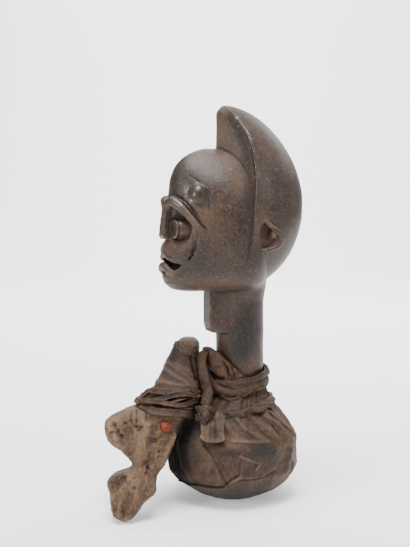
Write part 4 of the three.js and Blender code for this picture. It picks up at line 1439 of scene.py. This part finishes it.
def sleeve_marks(turn, share):
    """Relief of the folds in mm, then their painted shade in the grooves and painted highlight on the ridges.
    """
    level = sleeve_level(turn, share)
    spot = bone_skin(turn, level, 2.0)
    across, up = spot @ bone_across, spot[..., 2]
    facing = np.clip(np.sin(turn) * 3 + 0.6, 0, 1)
    low = np.clip(1 - share / 0.55, 0, 1)
    folds = ridged(np.stack([turn * 9 + share * 30, share * 16 - turn * 5, 0 * share], -1), 8.5, 51)
    soft = lattice_noise(spot, 8, 52)
    fine = ridged(spot, 3.4, 53)
    relief = (folds - 0.7) * (0.7 + 2.2 * low) * (1 - 0.8 * facing) + 0.6 * soft + 0.6 * (fine - 0.7)
    light = 0 * share
    for path, height, width in sleeve_folds:
        near = crease(across, up, path, width) * facing
        relief += height * near
        # Ridges of the folds take painted highlight and their grooves painted shade.
        light += 0.3 * near * (height > 0) - 0.9 * near * (height < 0)
    return relief, np.clip(-light, 0, 1), np.clip(light, 0, 1)


def sleeve_mesh():
    around = 320
    turn = -whole_turn(around)
    uneven = on_circle(turn)
    ragged = 0.04 * lattice_noise(uneven * 2.2, 1.0, 54) + 0.015 * lattice_noise(uneven * 8, 1.0, 55)
    ragged += 0.05 * bell(np.mod(turn, 2 * math.pi) - math.radians(155), 0.25)
    rows = []
    marks = []

    def ring(share, grow, rough=1.0):
        shares = np.full(around, share) + ragged * max(0, share - 0.6) / 0.4
        relief, dark, light = sleeve_marks(turn, shares)
        rows.append(bone_skin(turn, sleeve_level(turn, shares), grow + rough * relief))
        marks.append((dark * rough, light * rough))
    for share in np.linspace(0, 1, 190):
        ring(share, neck_gap + wrap_thickness)
    for part in (0.8, 0.5):
        ring(1.0, neck_gap + wrap_thickness * part, 0.6 * part)
    for share in np.linspace(1, 0, 24):
        ring(share, 0.5, 0)
    for part in (0.5, 0.8):
        ring(0.0, neck_gap + wrap_thickness * part, 0.6 * part)
    ring(0, neck_gap + wrap_thickness)
    mesh = grid_mesh("hide_sleeve", rows, closed=False)
    keep_marks(mesh, marks, "dark", "light")
    return mesh


# The last ring lies on the first, and a weld joins the two, so that the skin closes on itself.
sleeve = link("hide_sleeve", sleeve_mesh())
weld = sleeve.modifiers.new("weld", "WELD")
weld.merge_threshold = 0.02 * mm
finished_mesh(sleeve)
stand_out(sleeve.data, 10)
sleeve_hide = hide_finish("soft_wrapping_hide", tint(0.014, 0.0073, 0.004), tint(0.04, 0.0202, 0.01),
                          tint(0.07, 0.038, 0.019), tint(0.0065, 0.0045, 0.0036), 3)
sleeve.data.materials.append(sleeve_hide)
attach(sleeve, "root")
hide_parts("relic_wrap")


# The leather strips
# Long narrow strips of leather are wound round the bundle's mouth and the sleeve's hem, and knotted.
# Each is drawn along its own path, its broad side facing out, with curled edges and small wrinkles.
class Growth:
    """A Geometry Nodes tree that is put together node by node, with named inputs."""

    node = Finish.node
    join = Finish.join

    def __init__(self, name, inputs):
        self.tree = bpy.data.node_groups.new(name, "GeometryNodeTree")
        self.tree.interface.new_socket("Geometry", in_out="INPUT", socket_type="NodeSocketGeometry")
        for label, kind, value in inputs:
            socket = self.tree.interface.new_socket(label, in_out="INPUT", socket_type=kind)
            if value is not None:
                socket.default_value = value
        self.tree.interface.new_socket("Geometry", in_out="OUTPUT", socket_type="NodeSocketGeometry")
        self.group = self.tree.nodes.new("NodeGroupInput")
        self.last = self.tree.nodes.new("NodeGroupOutput")

    def given(self, label):
        return Wire(self, self.group.outputs[label])

    def close(self, geometry):
        """Ends the tree in real mesh with its material."""
        real = self.node("GeometryNodeRealizeInstances", {}, {"Geometry": geometry})
        shaded = self.node("GeometryNodeSetMaterial", {},
                           {"Geometry": real, "Material": self.given("Material")})
        self.tree.links.new(shaded.socket, self.last.inputs["Geometry"])

    def grow(self, piece, values):
        """Runs the tree on the piece and leaves a plain mesh."""
        modifier = piece.modifiers.new("grow", "NODES")
        modifier.node_group = self.tree
        for item in self.tree.interface.items_tree:
            if item.in_out == "INPUT" and item.name in values:
                modifier[item.identifier] = values[item.name]
        finished_mesh(piece)


number = "NodeSocketFloat"
strips = Growth("leather_strip", [("Width", number, 6 * mm), ("Thickness", number, 1.7 * mm),
                                  ("Cup", number, 0.6 * mm), ("Wrinkle", number, 0.5 * mm),
                                  ("Grain", number, 4 * mm), ("Material", "NodeSocketMaterial", None)])
line = strips.node("GeometryNodeMeshToCurve", {}, {"Mesh": strips.given("Geometry")})
outward = strips.node("GeometryNodeInputNamedAttribute", {"data_type": "FLOAT_VECTOR"}, {"Name": "outward"})
breadth = strips.node("GeometryNodeInputNamedAttribute", {"data_type": "FLOAT"}, {"Name": "breadth"})
line = strips.node("GeometryNodeSetCurveNormal", {"mode": "FREE"}, {"Curve": line, "Normal": outward})
line = strips.node("GeometryNodeSetCurveRadius", {}, {"Curve": line, "Radius": breadth})
section = strips.node("GeometryNodeCurvePrimitiveQuadrilateral", {},
                      {"Width": strips.given("Thickness"), "Height": strips.given("Width")})
section = strips.node("GeometryNodeFilletCurve", {"mode": "POLY"},
                      {"Curve": section, "Count": 3, "Radius": strips.given("Thickness") * 0.47})
section = strips.node("GeometryNodeResampleCurve", {}, {"Curve": section, "Count": 30})
spot = strips.node("GeometryNodeInputPosition", {}, {})
apart = strips.node("ShaderNodeSeparateXYZ", {}, {"Vector": spot}, "Y")
half_width = strips.given("Width") * 0.5
edge_share = strips.node("ShaderNodeMath", {"operation": "DIVIDE"}, {0: apart, 1: half_width})
bow = edge_share * edge_share * strips.given("Cup")
shift = strips.node("ShaderNodeCombineXYZ", {}, {"X": bow})
section = strips.node("GeometryNodeSetPosition", {}, {"Geometry": section, "Offset": shift})
ribbon = strips.node("GeometryNodeCurveToMesh", {},
                     {"Curve": line, "Profile Curve": section, "Fill Caps": True})
lump_scale = strips.node("ShaderNodeMath", {"operation": "DIVIDE"}, {0: 1.0, 1: strips.given("Grain")})
lumps = strips.node("ShaderNodeTexNoise", {"noise_dimensions": "3D"},
                    {"Vector": spot, "Scale": lump_scale, "Detail": 4.0, "Roughness": 0.6})
push = (lumps - 0.5) * strips.given("Wrinkle")
facing = strips.node("GeometryNodeInputNormal", {}, {})
lifted = strips.node("ShaderNodeVectorMath", {"operation": "SCALE"}, {0: facing, "Scale": push})
ribbon = strips.node("GeometryNodeSetPosition", {}, {"Geometry": ribbon, "Offset": lifted})
ribbon = strips.node("GeometryNodeSetShadeSmooth", {}, {"Geometry": ribbon})
strips.close(ribbon)

strip_leather = hide_finish("strip_leather", tint(0.016, 0.0088, 0.005), tint(0.046, 0.0245, 0.013),
                            tint(0.085, 0.049, 0.0275), tint(0.009, 0.0066, 0.0052), 6)


def strip(name, path, outward, width, closed=False, breadth=None, cup=0.5, wrinkle=1.7, grain=3.6,
          thickness=strip_thickness, material=strip_leather):
    """A leather strip along the path, whose points lie in the middle of its thickness."""
    count = len(path)
    edges = [(i, i + 1) for i in range(count - 1)]
    if closed:
        edges.append((count - 1, 0))
    mesh = bpy.data.meshes.new(name)
    mesh.from_pydata(np.array(path) * mm, edges, [])
    mesh.attributes.new("outward", "FLOAT_VECTOR", "POINT")
    mesh.attributes["outward"].data.foreach_set("vector", np.array(outward, float).ravel())
    mark(mesh, "breadth", np.ones(count) if breadth is None else breadth)
    piece = link(name, mesh)
    strips.grow(piece, {"Width": width * mm, "Thickness": thickness * mm, "Cup": cup * mm,
                        "Wrinkle": wrinkle * mm, "Grain": grain * mm, "Material": material})
    stand_out(piece.data, 6)
    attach(piece, "root")
    return piece


def leaned(outward, path, turn):
    """The outward directions turned about the path by turn, in radians, at each point."""
    run = np.gradient(path, axis=0)
    run /= np.linalg.norm(run, axis=1)[:, None]
    side = np.cross(run, outward)
    return outward * np.cos(turn)[:, None] + side * np.sin(turn)[:, None]


def unit(rows):
    return rows / np.linalg.norm(rows, axis=1)[:, None]


# Each turn has its middle height, how far it climbs from front to back, and how far it sags at the left
# and lies lower at the right. All are in mm.
strap_spacing = 0.6
neck_strip_width = 6.4
shoulder_strip_width = 8.0
shoulder_turn = {"middle": bundle_height + 2.6, "tilt": 4.2, "sag": 0, "rear": 0}
middle_turn = {"tilt": 1.2, "sag": 4.6, "rear": 5.0}
upper_turn = {"tilt": 3.2, "sag": 0, "rear": 0}
shoulder_front = shoulder_turn["middle"] + shoulder_turn["tilt"] + shoulder_strip_width / 2
middle_front = shoulder_front + strap_spacing + neck_strip_width / 2 - middle_turn["tilt"]
upper_rise = neck_strip_width + strap_spacing + upper_turn["tilt"] - middle_turn["tilt"]
upper_turn["middle"] = middle_front + upper_rise
middle_turn["middle"] = middle_front + middle_turn["sag"]


def neck_turn(name, loop, node, seed, roll, width, cup, shift=0.0, lift=0.0, twist=0.0, start=0.0):
    """A turn of strip round the gathered mouth, riding on its pleats, by itself or twisted round another."""
    count = 260
    coils = 7
    turn = whole_turn(count)
    around = on_circle(turn)
    up = loop["middle"] - loop["tilt"] * np.cos(turn) - loop["sag"] * bell(turn - 0.9, 0.5)
    up = up - loop["rear"] * np.maximum(0, -np.sin(turn)) ** 0.5
    up = up + shift + 0.6 * lattice_noise(around * 2.5, 1.0, seed)
    up = up + twist * np.cos(coils * turn + start)
    off = strip_ride + strip_thickness / 2 + lift + 0.4 * lattice_noise(around * 5, 1.0, seed + 1)
    off = off + 0.7 * twist * np.sin(coils * turn + start)
    path = bundle_skin(turn, up, off)
    above = bundle_skin(turn, up + 2, off)
    outward = unit(np.cross(np.roll(path, -1, 0) - np.roll(path, 1, 0), above - path))
    outward = leaned(outward, path, roll * lattice_noise(around * 3, 1.0, seed + 2))
    breadth = 1 + 0.16 * lattice_noise(around * 6, 1.0, seed + 3)
    piece = strip(name, path, outward, width, closed=True, breadth=breadth, cup=cup)
    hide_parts(node)


neck_turn("upper_turn", upper_turn, "neck_strap_upper", 61, 0.25, 4.4, -0.6, shift=0.4, lift=0.3)
neck_turn("upper_turn_under", upper_turn, "neck_strap_upper", 65, 0.15, 8.2, -0.3, shift=-3.4, lift=-0.7)
neck_turn("middle_turn", middle_turn, "neck_strap_middle", 71, 0.3, 4.2, -0.9, lift=0.3)
neck_turn("middle_turn_under", middle_turn, "neck_strap_middle", 75, 0.3, 3.4, -0.5, shift=-2.8, lift=-0.4)
neck_turn("shoulder_turn", shoulder_turn, "shoulder_strap", 81, 0.4, 4.4, -0.6, twist=1.2)
neck_turn("shoulder_turn_twin", shoulder_turn, "shoulder_strap", 85, 0.4, 4.2, -0.6, twist=1.2, start=math.pi)


def binding(name, node, seed, width, cup, lift, stops, whole=True):
    """A strand round the hem of the sleeve, by stops of turn in degrees and rise above the hem in mm."""
    count = 220
    degrees = np.linspace(stops[0][0], stops[-1][0], count)
    if whole:
        degrees = degrees[:-1]
    turn = np.radians(degrees)
    rows = smooth_path(stops, 400)
    rise = np.interp(degrees, rows[:, 0], rows[:, 1])
    level = hem_level - hem_slant * np.cos(turn) + rise / bone_length
    around = on_circle(turn)
    grow = neck_gap + wrap_thickness + strip_ride + strip_thickness / 2 + lift
    grow = grow + 0.5 * lattice_noise(around * 4, 1.0, seed + 1)
    path = bone_skin(turn, level, grow)
    above = bone_skin(turn, level + 0.02, grow)
    outward = unit(np.cross(np.gradient(path, axis=0), above - path))
    outward = leaned(outward, path, 0.55 * lattice_noise(around * 3, 1.0, seed))
    breadth = 1 + 0.2 * lattice_noise(around * 5, 1.0, seed + 2)
    piece = strip(name, path, outward, width, closed=whole, breadth=breadth, cup=cup, wrinkle=1.8, grain=3.0,
                  material=sleeve_hide)
    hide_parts(node)


binding("roll_upper", "relic_binding_upper", 91, 4.4, -0.9, 0.0,
        [(0, 10), (31, 14.2), (60, 16.6), (80, 15.2), (95, 12.8), (113, 11.8), (149, 9.6), (166, 5), (185, 3),
         (230, 4), (280, 6.5), (330, 8.5), (360, 10)])
binding("roll_second", "relic_binding_upper", 95, 3.6, -0.8, 0.3,
        [(0, 9), (28, 12), (62, 13.4), (82, 12), (93, 10.4), (103, 8), (120, 5.8), (159, 3.4), (200, 5),
         (250, 8), (300, 9), (360, 9)])
binding("roll_third", "relic_binding_lower", 99, 3.6, -0.8, 0.2,
        [(0, 7.5), (34, 9.4), (53, 8.0), (68, 6.2), (86, 5.6), (106, 6.2), (127, 4.6), (159, 2.6), (200, 2.6),
         (260, 4), (320, 5.5), (360, 7.5)])
binding("roll_low", "relic_binding_lower", 103, 5.2, -1.0, 0.3,
        [(-12, 1.0), (10, 0.6), (45, 1.5), (67, 1.8), (86, 1.0), (100, 0.8), (113, 1.5)], whole=False)
binding("roll_back", "relic_binding_lower", 107, 4.4, -0.8, 0.1,
        [(150, 2.2), (175, 1.6), (220, 1.2), (270, 1.0), (320, 0.5), (360, 1.0)], whole=False)


# The knot, the sling and the loose end
# The strips meet in a knot at the left of the neck. One runs up beside the neck, and a loose end hangs down.
knot_turn = math.degrees(bone_turn) - 30
knot_width = 12.5
end_width = 16.5
end_length = 19.0


def over_bundle(turn, up, lift):
    return bundle_skin(np.radians(turn), np.array(float(up)), lift)


def free_strip(name, node, place, stops, width, lean, breadth=(1, 1, 1), side=-0.3, steps=60, cup=-1.0):
    """A strip that hangs free along stops, each told as the function place takes it, and faces outward."""
    path = smooth_path([place(*stop) for stop in stops], steps)
    outward = unit(np.tile(bone_out + side * bone_across, (len(path), 1)))
    outward = leaned(outward, path, np.linspace(*lean, len(path)))
    widths = np.interp(np.linspace(0, 1, len(path)), np.linspace(0, 1, len(breadth)), breadth)
    piece = strip(name, path, outward, width, breadth=widths, cup=cup)
    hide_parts(node)


free_strip("sling_front", "sling_strap", over_bundle,
           [(2, 107, 2.2), (5, 100, 7.2), (13, 90, 10.8), (21, 80, 11.2), (27, 72, 11)],
           7.6, (0.5, -0.2), (0.55, 0.95, 1.0, 0.9), cup=-1.1)
free_strip("sling_rear", "sling_strap", over_bundle,
           [(4, 107.5, 0.8), (-2, 102, 2.8), (1, 95.5, 4.4), (9, 88.4, 5.0), (22, 83, 4.6), (37, 80, 3.9),
            (52, 78.6, 3.0), (66, 78.6, 1.2)],
           5.2, (-0.3, 0.2), (0.6, 1.0, 1.0, 1.0, 0.8), cup=-0.9, steps=90)
free_strip("sling_inner", "sling_strap", over_bundle,
           [(-8, 104, 1.6), (-6, 95, 7.6), (-1, 86, 10.6), (8, 76, 10)],
           7.6, (0.9, 0.4), (0.6, 1.0, 1.0), cup=-0.6)

knot_middle = over_bundle(knot_turn, bundle_height + 1, knot_width / 2 + strip_ride + strip_thickness + 1)


def knot_place(across, out, up):
    return knot_middle + across * bone_across + out * bone_out + up * upward


loop_turn = np.linspace(0, 2 * math.pi, 60)[:-1]
loop_path = np.array([knot_place(3.3 * math.cos(turn) - 1.4, 3.4 + 0.8 * math.cos(turn + 1),
                                 4.0 * math.sin(turn) - 0.2) for turn in loop_turn])
loop_out = np.outer(np.cos(loop_turn), bone_across) + np.outer(np.sin(loop_turn), upward)
knot_loop = strip("knot_loop", loop_path, unit(bone_out + 0.9 * loop_out), 3.4, closed=True, cup=-0.8,
                  wrinkle=1.4, grain=2.6, breadth=1 + 0.2 * np.sin(loop_turn * 2))
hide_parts("knot")
free_strip("knot_across", "knot", knot_place,
           [(-7, -1.5, 2.6), (-3.5, 1.2, 3.6), (0, 1.8, 4.4), (4.5, 1.4, 3), (7, -1, 0.5)], 5.2, (0.3, -0.3))
free_strip("knot_under", "knot", knot_place,
           [(-7.5, -1.5, -2.4), (-4, 0.6, -1.8), (0, 1.4, -2.6), (4, 1.0, -1.6), (7.5, -1.4, -1)],
           5.4, (-0.3, 0.3))
free_strip("knot_tail", "knot", knot_place,
           [(-0.6, 2.6, 3.4), (-1.4, 4.8, 0.4), (-2.2, 4.8, -3.8), (-2.4, 3.6, -8), (-1.6, 2.6, -12.5),
            (-1.0, 1.8, -17)], 4.4, (0, 0.4), (1, 1.1, 1, 0.7, 0.55), cup=-0.7, side=-0.15)

end_top = bundle_height + 4
end_stops = [over_bundle(turn, end_top - share * end_length, lift)
             for turn, share, lift in ((40, 0, 9.0), (43.5, 0.37, 7.4), (45.5, 0.74, 4.6), (46, 1.1, 3.0))]


def end_mesh():
    """A dished tongue of hide with a rolled rim, round at its lower corners."""
    path = smooth_path(end_stops, 70)
    along = np.linspace(0, 1, len(path))
    turn = -whole_turn(90)
    run = unit(np.gradient(path, axis=0))
    facing = unit(np.tile(bone_out - 0.15 * bone_across, (len(path), 1)))
    side = unit(np.cross(facing, run))
    facing = unit(np.cross(run, side))
    rows = []
    marks = []
    for i, share in enumerate(along):
        corner = np.sqrt(max(0.02, 1 - max(0, (share - 0.8) / 0.2) ** 2))
        half = end_width / 2 * (0.62 + 0.38 * min(1, share / 0.25)) * corner
        half *= 1 + 0.05 * math.sin(9 * share) + 0.03 * math.sin(23 * share + 1)
        across = -np.sign(np.cos(turn)) * np.abs(np.cos(turn)) ** 0.8
        rim = np.maximum(np.abs(across) ** 3, max(0, (share - 0.8) / 0.2) ** 2)
        folds = bell(across - 0.3 - 0.2 * share, 0.16) - bell(across + 0.15, 0.2)
        folds += 0.8 * bell(across + 0.5 - 0.3 * share, 0.14)
        lift = 1.7 * rim - 0.8 * (1 - rim) + 0.4 * math.sin(6 * share) * across + folds * (1.1 - 0.7 * share)
        body = np.sign(np.sin(turn)) * np.abs(np.sin(turn)) ** 0.6 * (0.75 + 0.5 * rim)
        spot = path[i] + np.outer(across * half, side[i]) + np.outer(lift + body, facing[i])
        noise = lattice_noise(spot, 2.2, 111) * 0.5 + lattice_noise(spot, 4.5, 112) * 1.1
        rows.append(spot + noise[:, None] * facing[i])
        outside = np.sin(turn) > -0.2
        # Painted shade darkens the dish a little, and the rim and the crests of the folds are lighter.
        dark = 0.2 * (1 - rim) * outside
        light = (0.45 * rim + 0.3 * np.maximum(folds, 0)) * outside
        stain_and_shade = np.exp(-off_spot(across, share, 0.2, 0.62, 0.45, 0.16)) * outside
        marks.append((dark, light, stain_and_shade))
    mesh = grid_mesh("loose_end", rows)
    keep_marks(mesh, marks, "dark", "light", "stain_and_shade")
    return mesh


# What counts as proud is turned round here, so its hollows take the lighter rubbed coat and its rim the dark
# coat that paints shade in the folds of the other pieces of hide.
loose_end = link("loose_end", end_mesh())
stand_out(loose_end.data, 6, way=-1)
end_hide = hide_finish("loose_end_hide", tint(0.034, 0.0205, 0.0127), tint(0.084, 0.05, 0.03),
                       tint(0.15, 0.096, 0.06), tint(0.0125, 0.0088, 0.007), 5)
loose_end.data.materials.append(end_hide)
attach(loose_end, "root")
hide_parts("strap_end")


# The red spot
# A round drop of glossy resin, red-orange, is stuck to the bone below the hem.
drop_diameter = 6.5
drop_spread = 1.25
drop_sag = 1.4
drop_low, drop_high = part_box("red_drop")
drop_middle = (np.array(drop_low) + np.array(drop_high)) / 2 / mm - drop_sag * (upward + 0.8 * bone_across)


def drop_mesh():
    rows = []
    turn = whole_turn(40)
    for angle in np.linspace(0.12, math.pi - 0.05, 24):
        reach = drop_spread * drop_diameter / 2 * math.sin(angle)
        wobble = 1 + 0.06 * np.sin(3 * turn + 1) + 0.03 * np.sin(7 * turn)
        out = -drop_diameter / 2 * 0.75 * math.cos(angle)
        rows.append(drop_middle + np.multiply.outer(reach * wobble * np.cos(turn), bone_across)
                    + np.outer(reach * wobble * np.sin(turn), upward) + out * bone_out)
    return grid_mesh("resin_drop", rows)


drop = link("resin_drop", drop_mesh())
resin = Finish("red_resin")
mottle = resin.noise(1.4, 4, roughness=0.7)
cloud = resin.noise(3, 2)
colour = resin.layers(
    tint(0.085, 0.008, 0.002),
    (cloud.step(0.35, 0.65), tint(0.22, 0.04, 0.005)),
    (mottle.step(0.5, 0.7) * 0.75, tint(0.07, 0.014, 0.006)))
resin.surface_inputs({"Base Color": colour, "Roughness": 0.3 + 0.3 * mottle,
                      "Normal": resin.bump(mottle, 0.6), "Specular IOR Level": 0.3})
drop.data.materials.append(resin.material)
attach(drop, "root")
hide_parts("red_drop")
